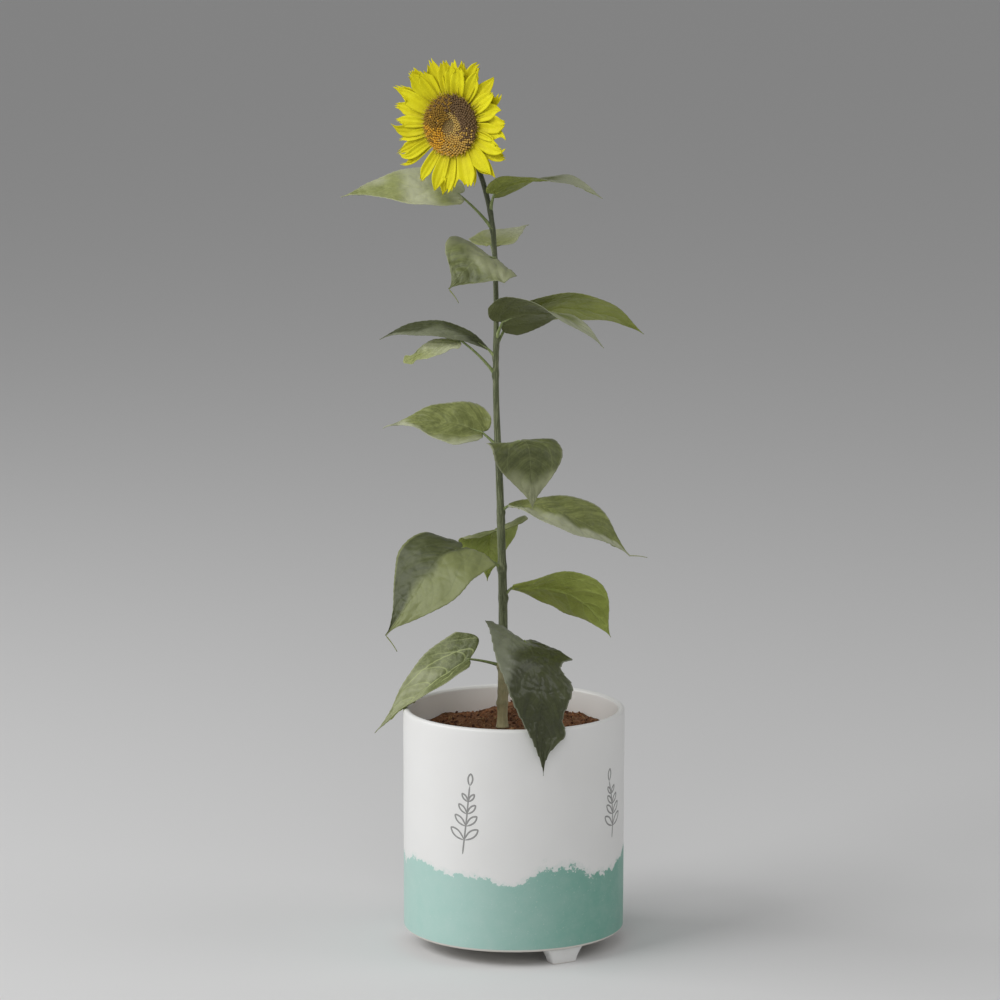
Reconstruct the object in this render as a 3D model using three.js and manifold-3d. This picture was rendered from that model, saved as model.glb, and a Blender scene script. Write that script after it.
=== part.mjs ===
// A dwarf sunflower grown in a glazed pot on three feet. Millimetres, +Z up, -Y is the front.
// The model is laid out round the pot's axis, and moved at the end so that its origin is the middle
// of its box on the floor.
import * as THREE from "three";
import { mergeVertices } from "three/addons/utils/BufferGeometryUtils.js";
import Module from "manifold-3d";

const wasm = await Module();
wasm.setup();

// ---- Driving dimensions --------------------------------------------------------------------

const GAP = 0.3; // between pieces that touch
const DEGREE = Math.PI / 180;

const POT = {
  topRadius: 125,
  baseRadius: 124.5,
  height: 253.4,
  wall: 7.5,
  floor: 8,
  edgeRadius: 4,
  sides: 48,
  edgeSteps: 2,
  lipSteps: 4,
};
const FOOT = {
  height: 18,
  topWidth: 46,
  bottomWidth: 31,
  depth: 26,
  inset: 5,
  corner: 5,
  innerSlope: 5, // how far the inner and the outer face lean in on the way down
  outerSlope: 4,
  bearings: { front_right: 30, back_right: 140, left: -110 },
};
const SOIL = {
  level: 247, // flat spot under the stem
  wallLevel: 243,
  mound: { x: 12, y: 84, height: 14, spread: 34 },
  ripple: { height: 2.2, x: 15, y: 18, start: 1 },
  rings: [14, 45, 80],
  blend: 40, // from the flat spot out to the full mound and ripples
  sides: 32,
};
const STEM = {
  // x, y and height above the soil of the middle line, from the foot to the back of the flower
  line: [
    [-13, 0, 0],
    [-12, 2, 125],
    [-15, 3, 250],
    [-20, 3, 380],
    [-20, 2, 490],
    [-24, 2, 568],
    [-33, 3, 612],
    [-44, 2, 644],
    [-51, -3, 667],
  ],
  neck: 8, // the last straight run into the back of the flower
  footRadius: 7.6,
  flareHeight: 14,
  radius: 6,
  thinRadius: 2.9,
  thinHeight: 470,
  sides: 10,
  stations: 30,
  crowding: 1.1, // above 1, the stations stand closer near the foot
};
const FLOWER = {
  centre: [-68, -40, 931],
  bearing: -30,
  discRadius: 34,
  discBack: 6,
  // radius and height of the disc's edge and dome, as shares of its radius, from the rim inwards
  discDome: [
    [1, -0.06],
    [0.985, 0.06],
    [0.88, 0.13],
    [0.55, 0.18],
    [0.25, 0.13],
    [0, 0.12],
  ],
  discFloor: 0.91, // radius of its flat back, as a share of its radius
  discSides: 28,
  rays: 29,
  rayRadius: 72,
  rayOutline: [0.72, 0.9, 1, 0.88], // reach over one ray, from one notch to the next
  raySpread: 5,
  rayCup: 12,
  raySheet: 1.6,
  cupRadius: 40,
  bractRadius: 53,
  bractRise: 2.6,
  bractSheet: 1.7,
  bracts: 21,
  cupDepth: 15.5,
  cupFloor: 14, // radius of the flat end that the stem meets
  cupBulge: 6,
};
const LEAF = {
  thickness: 1.2,
  along: 10,
  across: 4,
  tipShare: 0.012, // half width left at the tip
  tipPower: 0.85, // under 1, the blade stays broad for longer
  lobePower: 0.8, // under 1, the lobes crowd the stalk
  lobeFade: 2.5, // how fast the lobes die away along the blade
};
const STALK = { stemRadius: 2.1, leafRadius: 1.4, sides: 6, steps: 5 };

// Each leaf stands on its stalk at a height above the soil. A bearing is 0 at the front, 90 at the
// right and 180 at the back; a rise is the climb in degrees, and each pair runs from start to end.
// roll turns the blade about its midrib, and half is the half width on its two sides. shoulder is
// the base's share of the width, wide is where it is widest, and bend the stretch where it arches.
const LEAVES = {
  upper_left: {
    height: 565,
    stalk: { length: 54, bearing: [-97, -97], rise: [52, 38] },
    blade: { length: 133, half: [38, 37], bearing: [-82, -87], rise: [16, -18], roll: [-31, -32] },
    fold: [6, 3],
    lobe: 0.05,
  },
  upper_right: {
    height: 583,
    stalk: { length: 25, bearing: [30, 50], rise: [80, 60] },
    blade: { length: 131, half: [34, 23], bearing: [73, 70], rise: [30, -33], roll: [-34, 31] },
    fold: [10, 6],
    shoulder: 0.65,
    wide: 0.27,
  },
  top_back: {
    height: 531,
    stalk: { length: 20, bearing: [-160, -160], rise: [60, 40] },
    blade: { length: 75, half: [41, 24], bearing: [145, 144], rise: [20, 4], roll: [-3, -6] },
    fold: [2, -3],
    lobe: 0.06,
    shoulder: 0.52,
    wide: 0.22,
  },
  top_front: {
    height: 517,
    stalk: { length: 33, bearing: [0, 0], rise: [40, 30] },
    blade: { length: 73, half: [47, 51], bearing: [-46, -82], rise: [19, -48], roll: [-25, -60] },
    bend: [0, 0.6],
    fold: [3, -12],
    lobe: 0.04,
    shoulder: 0.94,
  },
  high_right_front: {
    height: 440,
    stalk: { length: 24, bearing: [40, 50], rise: [70, 60] },
    blade: { length: 137, half: [36, 36], bearing: [62, 66], rise: [30, -50], roll: [-50, 25] },
    shoulder: 0.7,
  },
  high_right_back: {
    height: 433,
    stalk: { length: 35, bearing: [135, 130], rise: [60, 40] },
    blade: { length: 158, half: [38, 38], bearing: [95, 92], rise: [26, -38], roll: [-28, -32] },
    lobe: 0.02,
    shoulder: 0.5,
    wide: 0.5,
  },
  high_left_upper: {
    height: 421,
    stalk: { length: 13, bearing: [-90, -90], rise: [50, 45] },
    blade: { length: 129, half: [20, 14], bearing: [-90, -89], rise: [40, -30], roll: [-24, -29] },
    fold: [1, 3],
    lobe: 0,
    shoulder: 0.1,
    wide: 0.47,
  },
  high_left_lower: {
    height: 401,
    stalk: { length: 57, bearing: [-80, -85], rise: [55, 35] },
    blade: { length: 68, half: [15, 12], bearing: [-83, -78], rise: [-14, -28], roll: [-33, -46] },
    fold: [11, 4],
    lobe: 0,
    shoulder: 0.14,
    wide: 0.41,
  },
  middle_left: {
    height: 320,
    stalk: { length: 25, bearing: [-100, -100], rise: [45, 38] },
    blade: { length: 110, half: [38, 37], bearing: [-107, -98], rise: [19, -16], roll: [-28, -31] },
    fold: [4, 10],
    lobe: 0.05,
    shoulder: 0.65,
    wide: 0.18,
  },
  middle_front: {
    height: 315,
    stalk: { length: 44, bearing: [35, 35], rise: [28, 18] },
    blade: { length: 92, half: [42, 46], bearing: [34, 11], rise: [10, -82], roll: [0, 6] },
    bend: [0, 0.4],
    fold: [-3, 1],
    shoulder: 0.95,
  },
  middle_right: {
    height: 246,
    stalk: { length: 12, bearing: [70, 80], rise: [50, 30] },
    blade: { length: 152, half: [36, 32], bearing: [77, 84], rise: [4, -46], roll: [20, 31] },
    fold: [2, 7],
    lobe: 0,
    shoulder: 0.1,
    wide: 0.51,
  },
  low_left: {
    height: 182,
    stalk: { length: 62, bearing: [-55, -55], rise: [35, 20] },
    blade: { length: 139, half: [55, 51], bearing: [-45, -89], rise: [0, -54], roll: [-12, -48] },
    bend: [0, 0.4],
    fold: [0, -1],
    lobe: 0.08,
    shoulder: 1,
    wide: 0.32,
  },
  low_back: {
    height: 185,
    stalk: { length: 48, bearing: [-170, -170], rise: [60, 30] },
    blade: { length: 80, half: [43, 43], bearing: [-158, -158], rise: [10, -80], roll: [-16, -16] },
    bend: [0, 0.4],
    shoulder: 0.9,
  },
  low_right: {
    height: 148,
    stalk: { length: 16, bearing: [80, 85], rise: [60, 40] },
    blade: { length: 137, half: [42, 43], bearing: [99, 97], rise: [-2, -60], roll: [-33, -52] },
    bend: [0.1, 1],
    fold: [6, 3],
    lobe: 0,
    shoulder: 0.15,
    wide: 0.52,
  },
  bottom_left: {
    height: 70,
    stalk: { length: 40, bearing: [-85, -90], rise: [20, 5] },
    blade: { length: 137, half: [41, 39], bearing: [-95, -87], rise: [-32, -46], roll: [-53, -41] },
    fold: [46, 3],
    lobe: 0.1,
    shoulder: 0.96,
    wide: 0.15,
  },
  bottom_front: {
    height: 73,
    stalk: { length: 66, bearing: [26, 26], rise: [42, 25] },
    blade: { length: 182, half: [49, 53], bearing: [15, 10], rise: [-7, -82], roll: [-23, -7] },
    bend: [0, 0.7],
    fold: [3, 6],
    lobe: 0.09,
    shoulder: 1,
    wide: 0.26,
  },
};

const GOLDEN_TURN = Math.PI * (3 - Math.sqrt(5));
const HALVINGS = 30; // of the stem's curve, in the search for a height on it

// ---- Solids --------------------------------------------------------------------------------

function geometryOf(points, triangles) {
  const geometry = new THREE.BufferGeometry();
  geometry.setAttribute("position", new THREE.Float32BufferAttribute(points.flat(), 3));
  geometry.setIndex(triangles.flat());
  return geometry;
}

// Two triangles of the four corners of a quad, seen anticlockwise from outside.
const quad = (a, b, c, d) => [a, b, c, a, c, d];

function manifoldOf(geometry) {
  const bare = geometry.clone();
  bare.deleteAttribute("normal");
  bare.deleteAttribute("uv");
  const merged = mergeVertices(bare, 1e-3);
  return new wasm.Manifold(
    new wasm.Mesh({
      numProp: 3,
      vertProperties: merged.attributes.position.array,
      triVerts: new Uint32Array(merged.index.array),
    }),
  );
}

function cut(geometry, cutter) {
  const mesh = manifoldOf(geometry).subtract(manifoldOf(cutter)).getMesh();
  const left = new THREE.BufferGeometry();
  left.setAttribute("position", new THREE.BufferAttribute(mesh.vertProperties, 3));
  left.setIndex(new THREE.BufferAttribute(mesh.triVerts, 1));
  return left;
}

// A tapering limb through stations that each hold a point, two directions across, and a radius.
function limb(stations, sides) {
  const points = [];
  const triangles = [];
  stations.forEach(({ point, side, up, radius }) => {
    for (let k = 0; k < sides; k++) {
      const turn = (2 * Math.PI * k) / sides;
      const corner = point
        .clone()
        .addScaledVector(side, radius * Math.cos(turn))
        .addScaledVector(up, radius * Math.sin(turn));
      points.push(corner.toArray());
    }
  });
  const last = stations.length - 1;
  const centres = [0, last].map((s) => points.push(stations[s].point.toArray()) - 1);
  for (let k = 0; k < sides; k++) {
    const next = (k + 1) % sides;
    for (let s = 0; s < last; s++) {
      const here = s * sides;
      const there = here + sides;
      triangles.push(quad(here + k, here + next, there + next, there + k));
    }
    triangles.push([centres[0], next, k]);
    triangles.push([centres[1], last * sides + k, last * sides + next]);
  }
  return geometryOf(points, triangles);
}

// A plate on a polar grid. Each ring gives the radius at a bearing, and front and back give the
// height of the two faces at a bearing and ring. A plate without a hole closes on its middle.
function polarPlate({ rings, sides, front, back, hole }) {
  const points = [];
  const triangles = [];
  const face = (height, k) =>
    rings.forEach((radiusAt, r) => {
      const turn = (2 * Math.PI * k) / sides;
      const radius = radiusAt(turn, k);
      points.push([radius * Math.cos(turn), radius * Math.sin(turn), height(turn, r, k)]);
    });
  for (let k = 0; k < sides; k++) {
    face(front, k);
    face(back, k);
  }
  const count = rings.length;
  const at = (k, r, isBack) => (k % sides) * 2 * count + (isBack ? count : 0) + r;
  const middle = hole ? [] : [front, back].map((h) => points.push([0, 0, h(0, -1, 0)]) - 1);
  for (let k = 0; k < sides; k++) {
    for (let r = 0; r < count - 1; r++) {
      triangles.push(quad(at(k, r, 0), at(k, r + 1, 0), at(k + 1, r + 1, 0), at(k + 1, r, 0)));
      triangles.push(quad(at(k, r, 1), at(k + 1, r, 1), at(k + 1, r + 1, 1), at(k, r + 1, 1)));
    }
    const rim = count - 1;
    triangles.push(quad(at(k, rim, 1), at(k + 1, rim, 1), at(k + 1, rim, 0), at(k, rim, 0)));
    if (hole) {
      triangles.push(quad(at(k, 0, 0), at(k + 1, 0, 0), at(k + 1, 0, 1), at(k, 0, 1)));
    } else {
      triangles.push([middle[0], at(k, 0, 0), at(k + 1, 0, 0)]);
      triangles.push([middle[1], at(k + 1, 0, 1), at(k, 0, 1)]);
    }
  }
  return geometryOf(points, triangles);
}

// ---- Growth --------------------------------------------------------------------------------

const mix = ([start, end], share) => start + (end - start) * share;

function easeBetween(share, [from, to]) {
  const x = Math.min(1, Math.max(0, (share - from) / (to - from)));
  return from === 0 && to === 1 ? x : x * x * (3 - 2 * x);
}

// The direction of growth at a bearing and rise, with the blade's side and upper face.
function headingOf(bearing, rise, roll) {
  const [b, e, r] = [bearing, rise, roll].map((angle) => angle * DEGREE);
  const ahead = new THREE.Vector3(
    Math.sin(b) * Math.cos(e),
    -Math.cos(b) * Math.cos(e),
    Math.sin(e),
  );
  const level = new THREE.Vector3(Math.cos(b), Math.sin(b), 0);
  const upright = ahead.clone().cross(level);
  const side = level.clone().multiplyScalar(Math.cos(r)).addScaledVector(upright, Math.sin(r));
  const up = upright.multiplyScalar(Math.cos(r)).addScaledVector(level, -Math.sin(r));
  return { ahead, side, up };
}

// Walks from a start along a growing piece, turning evenly from its first heading to its last.
function growthWalk(start, { length, bearing, rise, roll = [0, 0] }, steps, bend = [0, 1]) {
  const point = new THREE.Vector3(...start);
  const stations = [];
  for (let i = 0; i <= steps; i++) {
    const share = i / steps;
    const at = (s) =>
      headingOf(mix(bearing, s), mix(rise, easeBetween(s, bend)), mix(roll, s));
    stations.push({ share, point: point.clone(), ...at(share) });
    point.addScaledVector(at((i + 0.5) / steps).ahead, length / steps);
  }
  return stations;
}

// ---- Pot and soil --------------------------------------------------------------------------

const potBase = FOOT.height;
const rimHeight = potBase + POT.height;
const boreRadius = POT.topRadius - POT.wall;

function potGeometry() {
  const edge = POT.edgeRadius;
  const lip = POT.wall / 2;
  const arc = (cx, cz, radius, from, to, steps) =>
    Array.from({ length: steps + 1 }, (_, i) => {
      const turn = mix([from, to], i / steps) * DEGREE;
      return new THREE.Vector2(cx + radius * Math.cos(turn), cz + radius * Math.sin(turn));
    });
  const profile = [
    new THREE.Vector2(0, potBase),
    ...arc(POT.baseRadius - edge, potBase + edge, edge, -90, 0, POT.edgeSteps),
    ...arc(POT.topRadius - lip, rimHeight - lip, lip, 0, 180, POT.lipSteps),
    ...arc(boreRadius - edge, potBase + POT.floor + edge, edge, 0, -90, POT.edgeSteps),
    new THREE.Vector2(0, potBase + POT.floor),
  ];
  return new THREE.LatheGeometry(profile, POT.sides).rotateX(Math.PI / 2);
}

// A moulded foot: wide where it meets the base, narrow at the floor, its outer face near the wall.
function footGeometry() {
  const reach = POT.baseRadius - FOOT.inset;
  const outline = (width, near, far) => {
    const [w, c] = [width / 2, FOOT.corner];
    return [
      [-w, near],
      [w, near],
      [w, far - c],
      [w - c, far],
      [-w + c, far],
      [-w, far - c],
    ];
  };
  const inner = reach - FOOT.depth;
  const top = outline(FOOT.topWidth, inner, reach);
  const bottom = outline(FOOT.bottomWidth, inner + FOOT.innerSlope, reach - FOOT.outerSlope);
  const points = [
    ...bottom.map(([x, y]) => [x, -y, 0]),
    ...top.map(([x, y]) => [x, -y, FOOT.height - GAP]),
  ];
  const count = top.length;
  const triangles = [];
  for (let k = 0; k < count; k++) {
    const next = (k + 1) % count;
    triangles.push(quad(k, count + k, count + next, next));
    if (k > 1) {
      triangles.push([0, k - 1, k]);
      triangles.push([count, count + k, count + k - 1]);
    }
  }
  return geometryOf(points, triangles);
}

// The growing mix fills the pot, with a mound at the back and a flat spot under the stem.
function soilGeometry() {
  const [stemX, stemY] = STEM.line[0];
  const outer = boreRadius * Math.cos(Math.PI / POT.sides) - GAP; // inside the bore's flat sides
  const radii = [...SOIL.rings, outer];
  const surface = (turn, r) => {
    const radius = r < 0 ? 0 : radii[r];
    const x = radius * Math.cos(turn) + stemX * (1 - radius / outer);
    const y = radius * Math.sin(turn) + stemY * (1 - radius / outer);
    const away = Math.hypot(x - SOIL.mound.x, y - SOIL.mound.y) / SOIL.mound.spread;
    const hill = SOIL.mound.height * Math.exp(-away * away);
    const { ripple } = SOIL;
    const waves = ripple.height * Math.sin(x / ripple.x + ripple.start) * Math.cos(y / ripple.y);
    const rough = r <= 0 ? 0 : Math.min(1, (radius - radii[0]) / SOIL.blend);
    const fall = mix([SOIL.level, SOIL.wallLevel], radius / outer);
    return mix([SOIL.level, fall + hill + waves], rough);
  };
  const plate = polarPlate({
    rings: radii.map((radius) => () => radius),
    sides: SOIL.sides,
    front: surface,
    back: () => potBase + POT.floor + POT.edgeRadius,
    hole: false,
  });
  // The rings are drawn round the stem's foot inside and round the pot's axis at the wall.
  const place = plate.attributes.position;
  for (let i = 0; i < place.count; i++) {
    const pull = 1 - Math.hypot(place.getX(i), place.getY(i)) / outer;
    place.setXY(i, place.getX(i) + stemX * pull, place.getY(i) + stemY * pull);
  }
  return plate;
}

// ---- Stem ----------------------------------------------------------------------------------

const stemFoot = SOIL.level + GAP;
const flowerFront = headingOf(FLOWER.bearing, 0, 0).ahead;
const behindFlower = (distance) =>
  new THREE.Vector3(...FLOWER.centre).addScaledVector(flowerFront, -distance);
const stemEnd = FLOWER.discBack + FLOWER.cupDepth + 2 * GAP;
const stemCurve = new THREE.CatmullRomCurve3(
  [
    ...STEM.line.map(([x, y, height]) => new THREE.Vector3(x, y, stemFoot + height)),
    behindFlower(stemEnd + STEM.neck),
    behindFlower(stemEnd),
  ],
  false,
  "centripetal",
);

function stemRadius(height) {
  const taper = Math.min(1, height / STEM.thinHeight);
  const flare = Math.max(0, 1 - height / STEM.flareHeight);
  return mix([STEM.radius, STEM.thinRadius], taper) + (STEM.footRadius - STEM.radius) * flare ** 2;
}

function stemGeometry(clearance = 0) {
  const stations = [];
  for (let i = 0; i <= STEM.stations; i++) {
    const share = (i / STEM.stations) ** STEM.crowding;
    const point = stemCurve.getPoint(share);
    const along = i === 0 ? new THREE.Vector3(0, 0, 1) : stemCurve.getTangent(share);
    const up = along.clone().cross(new THREE.Vector3(1, 0, 0)).normalize();
    const side = up.clone().cross(along);
    stations.push({ point, side, up, radius: stemRadius(point.z - stemFoot) + clearance });
  }
  return limb(stations, STEM.sides);
}

// The stem's middle at a height above the soil.
function stemAt(height) {
  let [low, high] = [0, 1];
  for (let i = 0; i < HALVINGS; i++) {
    const half = (low + high) / 2;
    if (stemCurve.getPoint(half).z - stemFoot < height) low = half;
    else high = half;
  }
  return stemCurve.getPoint(low).toArray();
}

// ---- Leaves --------------------------------------------------------------------------------

function stalkGeometry(leaf, clearance = 0) {
  const walk = growthWalk(stemAt(leaf.height), leaf.stalk, STALK.steps);
  const stations = walk.map(({ share, point, side, up }) => ({
    point,
    side,
    up,
    radius: mix([STALK.stemRadius, STALK.leafRadius], share) + clearance,
  }));
  const end = walk[walk.length - 1];
  stations[stations.length - 1].point.addScaledVector(end.ahead, clearance);
  return limb(stations, STALK.sides);
}

// The share of the half width at a share of the length: a rounded base and a drawn-out tip.
function outlineShare(share, shoulder, wide) {
  if (share < wide) return shoulder + (1 - shoulder) * Math.sin((Math.PI / 2) * (share / wide));
  const past = (share - wide) / (1 - wide);
  return Math.max(LEAF.tipShare, ((1 + Math.cos(Math.PI * past)) / 2) ** LEAF.tipPower);
}

// A thin blade: a heart outline on the walk's midrib, each half folded about it.
function bladeGeometry(leaf) {
  const { blade, bend, fold = [4, 4], lobe = 0.06, shoulder = 0.62, wide = 0.25 } = leaf;
  const stalk = growthWalk(stemAt(leaf.height), leaf.stalk, STALK.steps);
  const start = stalk[stalk.length - 1].point.toArray();
  const walk = growthWalk(start, blade, LEAF.along, bend);
  const points = [];
  const width = LEAF.across + 1;
  walk.forEach(({ share, point, ahead, side, up }) => {
    for (let k = 0; k < width; k++) {
      const across = (2 * k) / LEAF.across - 1;
      const half = across > 0 ? 0 : 1;
      const out = Math.abs(across) * blade.half[half] * outlineShare(share, shoulder, wide);
      const back = lobe * blade.length * Math.sin(Math.PI * Math.abs(across) ** LEAF.lobePower);
      const angle = fold[half] * DEGREE;
      const middle = point
        .clone()
        .addScaledVector(ahead, -back * (1 - share) ** LEAF.lobeFade)
        .addScaledVector(side, Math.sign(across) * out * Math.cos(angle))
        .addScaledVector(up, out * Math.sin(angle));
      for (const face of [0.5, -0.5])
        points.push(middle.clone().addScaledVector(up, face * LEAF.thickness).toArray());
    }
  });
  const at = (s, k, under) => (s * width + k) * 2 + under;
  const triangles = [];
  const [tip, edge] = [LEAF.along, LEAF.across];
  const upper = (s, k) => [at(s, k, 0), at(s + 1, k, 0), at(s + 1, k + 1, 0), at(s, k + 1, 0)];
  const under = (s, k) => [at(s, k, 1), at(s, k + 1, 1), at(s + 1, k + 1, 1), at(s + 1, k, 1)];
  for (let s = 0; s < tip; s++) {
    for (let k = 0; k < edge; k++) {
      triangles.push(quad(...upper(s, k)));
      triangles.push(quad(...under(s, k)));
    }
    triangles.push(quad(at(s, 0, 0), at(s, 0, 1), at(s + 1, 0, 1), at(s + 1, 0, 0)));
    triangles.push(quad(at(s, edge, 0), at(s + 1, edge, 0), at(s + 1, edge, 1), at(s, edge, 1)));
  }
  for (let k = 0; k < edge; k++) {
    triangles.push(quad(at(0, k, 0), at(0, k + 1, 0), at(0, k + 1, 1), at(0, k, 1)));
    triangles.push(quad(at(tip, k, 0), at(tip, k, 1), at(tip, k + 1, 1), at(tip, k + 1, 0)));
  }
  return geometryOf(points, triangles);
}

// ---- Flower --------------------------------------------------------------------------------

// The flower is built facing +Z and then turned to face its bearing, upright. A low dome of
// florets fills its middle.
function discGeometry() {
  const { discRadius, discBack, discFloor, discDome, discSides } = FLOWER;
  const profile = [
    new THREE.Vector2(0, -discBack),
    new THREE.Vector2(discFloor * discRadius, -discBack),
    ...discDome.map(([x, y]) => new THREE.Vector2(x, y).multiplyScalar(discRadius)),
  ];
  return new THREE.LatheGeometry(profile, discSides).rotateX(Math.PI / 2);
}

// One toothed ring stands for the rays: pointed, of uneven length, and cupped forward.
function raysGeometry() {
  const samples = FLOWER.rayOutline.length;
  const inner = FLOWER.discRadius + GAP;
  const reach = (turn, k) => {
    const ray = Math.floor(k / samples);
    const isNotch = k % samples === 0;
    const uneven = isNotch ? 0 : FLOWER.raySpread * Math.sin(ray * GOLDEN_TURN);
    return FLOWER.rayRadius * FLOWER.rayOutline[k % samples] + uneven;
  };
  const height = (turn, r, k) =>
    r === 0 ? 0 : (FLOWER.rayCup * (reach(turn, k) - inner)) / (FLOWER.rayRadius - inner);
  return polarPlate({
    rings: [() => inner, reach],
    sides: FLOWER.rays * samples,
    front: (turn, r, k) => height(turn, r, k) + FLOWER.raySheet / 2,
    back: (turn, r, k) => height(turn, r, k) - FLOWER.raySheet / 2,
    hole: true,
  });
}

// The green cup behind the flower, with pointed bracts along its edge.
function cupGeometry() {
  const { cupFloor, discRadius, cupRadius, bractRadius, bractRise, bractSheet } = FLOWER;
  const samples = 2;
  const isTip = (k) => k % samples > 0;
  const seat = -FLOWER.discBack - GAP;
  const bractFront = -FLOWER.raySheet - GAP;
  const rim = 2;
  return polarPlate({
    rings: [() => cupFloor, () => discRadius, (turn, k) => (isTip(k) ? bractRadius : cupRadius)],
    sides: FLOWER.bracts * samples,
    front: (turn, r, k) => (r < rim ? seat : bractFront + (isTip(k) ? bractRise : 0)),
    back: (turn, r, k) => {
      if (r === rim) return bractFront - bractSheet + (isTip(k) ? bractRise : 0);
      return seat - FLOWER.cupDepth + (r > 0 ? FLOWER.cupBulge : 0);
    },
    hole: false,
  });
}

// ---- Assembly ------------------------------------------------------------------------------

const finishes = {
  glaze: { color: 0xdcdcda, roughness: 0.45 },
  soil: { color: 0x5a3524, roughness: 0.95 },
  stem: { color: 0x5c6b3a, roughness: 0.7 },
  leaf: { color: 0x6d7b4b, roughness: 0.65 },
  rays: { color: 0xd6ce26, roughness: 0.6 },
  disc: { color: 0x6b4a33, roughness: 0.9 },
};
for (const finish of Object.keys(finishes))
  finishes[finish] = new THREE.MeshStandardMaterial({ metalness: 0, ...finishes[finish] });

const plant = new THREE.Group();

function addMesh(name, geometry, finish, parent = plant) {
  const mesh = new THREE.Mesh(geometry, finishes[finish]);
  mesh.name = name;
  parent.add(mesh);
  return mesh;
}

addMesh("pot", potGeometry(), "glaze");
for (const [place, bearing] of Object.entries(FOOT.bearings))
  addMesh(`pot_foot_${place}`, footGeometry(), "glaze").rotation.z = bearing * DEGREE;
addMesh("soil", soilGeometry(), "soil");
addMesh("stem", stemGeometry(), "stem");

const stemClearance = stemGeometry(GAP);
for (const [place, leaf] of Object.entries(LEAVES)) {
  addMesh(`stalk_${place}`, cut(stalkGeometry(leaf), stemClearance), "stem");
  addMesh(`leaf_${place}`, cut(bladeGeometry(leaf), stalkGeometry(leaf, GAP)), "leaf");
}

const flower = new THREE.Group();
flower.position.set(...FLOWER.centre);
flower.rotation.set(Math.PI / 2, 0, FLOWER.bearing * DEGREE, "ZXY");
addMesh("flower_disc", discGeometry(), "disc", flower);
addMesh("flower_rays", raysGeometry(), "rays", flower);
addMesh("flower_cup", cupGeometry(), "stem", flower);
plant.add(flower);

// The origin is the middle of the whole box, on the floor.
const box = new THREE.Box3().setFromObject(plant, true);
const middle = box.getCenter(new THREE.Vector3());
const part = new THREE.Group();
plant.position.set(-middle.x, -middle.y, -box.min.z);
part.add(plant);

export default part;
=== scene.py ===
import math
import random

import bpy
import numpy as np
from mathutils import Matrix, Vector, noise


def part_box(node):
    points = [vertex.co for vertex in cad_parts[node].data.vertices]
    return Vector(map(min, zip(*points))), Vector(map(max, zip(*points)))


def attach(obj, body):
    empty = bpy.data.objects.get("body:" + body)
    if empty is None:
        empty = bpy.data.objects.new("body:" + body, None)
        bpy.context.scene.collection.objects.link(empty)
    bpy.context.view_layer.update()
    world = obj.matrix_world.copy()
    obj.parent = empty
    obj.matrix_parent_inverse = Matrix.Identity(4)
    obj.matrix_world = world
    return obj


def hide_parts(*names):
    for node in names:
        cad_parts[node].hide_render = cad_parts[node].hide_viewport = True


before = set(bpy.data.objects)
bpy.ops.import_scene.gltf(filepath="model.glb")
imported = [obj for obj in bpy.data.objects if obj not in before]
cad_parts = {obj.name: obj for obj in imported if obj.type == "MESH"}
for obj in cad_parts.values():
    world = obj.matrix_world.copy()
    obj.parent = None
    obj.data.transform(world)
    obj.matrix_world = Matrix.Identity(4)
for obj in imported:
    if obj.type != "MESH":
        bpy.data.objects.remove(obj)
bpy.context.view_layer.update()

# ---- The pot -------------------------------------------------------------------------------
# A slip-cast stoneware cylinder with a rounded lip and an eased bottom edge. It is dipped in a
# satin white glaze, then a mint glaze is sponged round the lower third, which leaves a ragged
# border. The mint is painted paler and greyer at the left and deeper to the right: painted light
# and shade. A thin ring at the bottom edge is wiped clean before firing.

MM = 0.001
pot_low, pot_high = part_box("pot")
AXIS = np.array([(pot_low[0] + pot_high[0]) / 2, (pot_low[1] + pot_high[1]) / 2, 0])
POT_TOP_RADIUS = 125
POT_BASE_RADIUS = 124.5
POT_WALL = 7.5
POT_FLOOR = 8
POT_BASE = 18
POT_RIM = 271.4
WHITE_GLAZE = (0.80, 0.795, 0.78, 1)
# The two mints are painted light and shade: the paler one, with a painted sheen, for the lit left, the
# deeper one for the shaded right.
MINT_LIT_SIDE = (0.378, 0.611, 0.55, 1)
MINT_SHADED_SIDE = (0.115, 0.361, 0.278, 1)
BARE_CLAY = (0.72, 0.69, 0.64, 1)


def add_piece(name, points, faces, finishes, stands_for=(), face_finish=None, uv=None):
    """A mesh given in millimetres from the pot's axis, fixed to the one body."""
    mesh = bpy.data.meshes.new(name)
    mesh.from_pydata((np.asarray(points) * MM + AXIS).tolist(), [], faces)
    for finish in finishes:
        mesh.materials.append(finish)
    if face_finish is not None:
        mesh.polygons.foreach_set("material_index", np.asarray(face_finish, dtype=np.int32))
    if uv is not None:
        corners = np.empty(len(mesh.loops), dtype=np.int32)
        mesh.loops.foreach_get("vertex_index", corners)
        layer = mesh.uv_layers.new(name="surface")
        layer.data.foreach_set("uv", np.asarray(uv, dtype=np.float32)[corners].ravel())
    mesh.polygons.foreach_set("use_smooth", [True] * len(mesh.polygons))
    mesh.validate()
    piece = bpy.data.objects.new(name, mesh)
    bpy.context.scene.collection.objects.link(piece)
    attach(piece, "root")
    if stands_for:
        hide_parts(*stands_for)
    return piece


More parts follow.
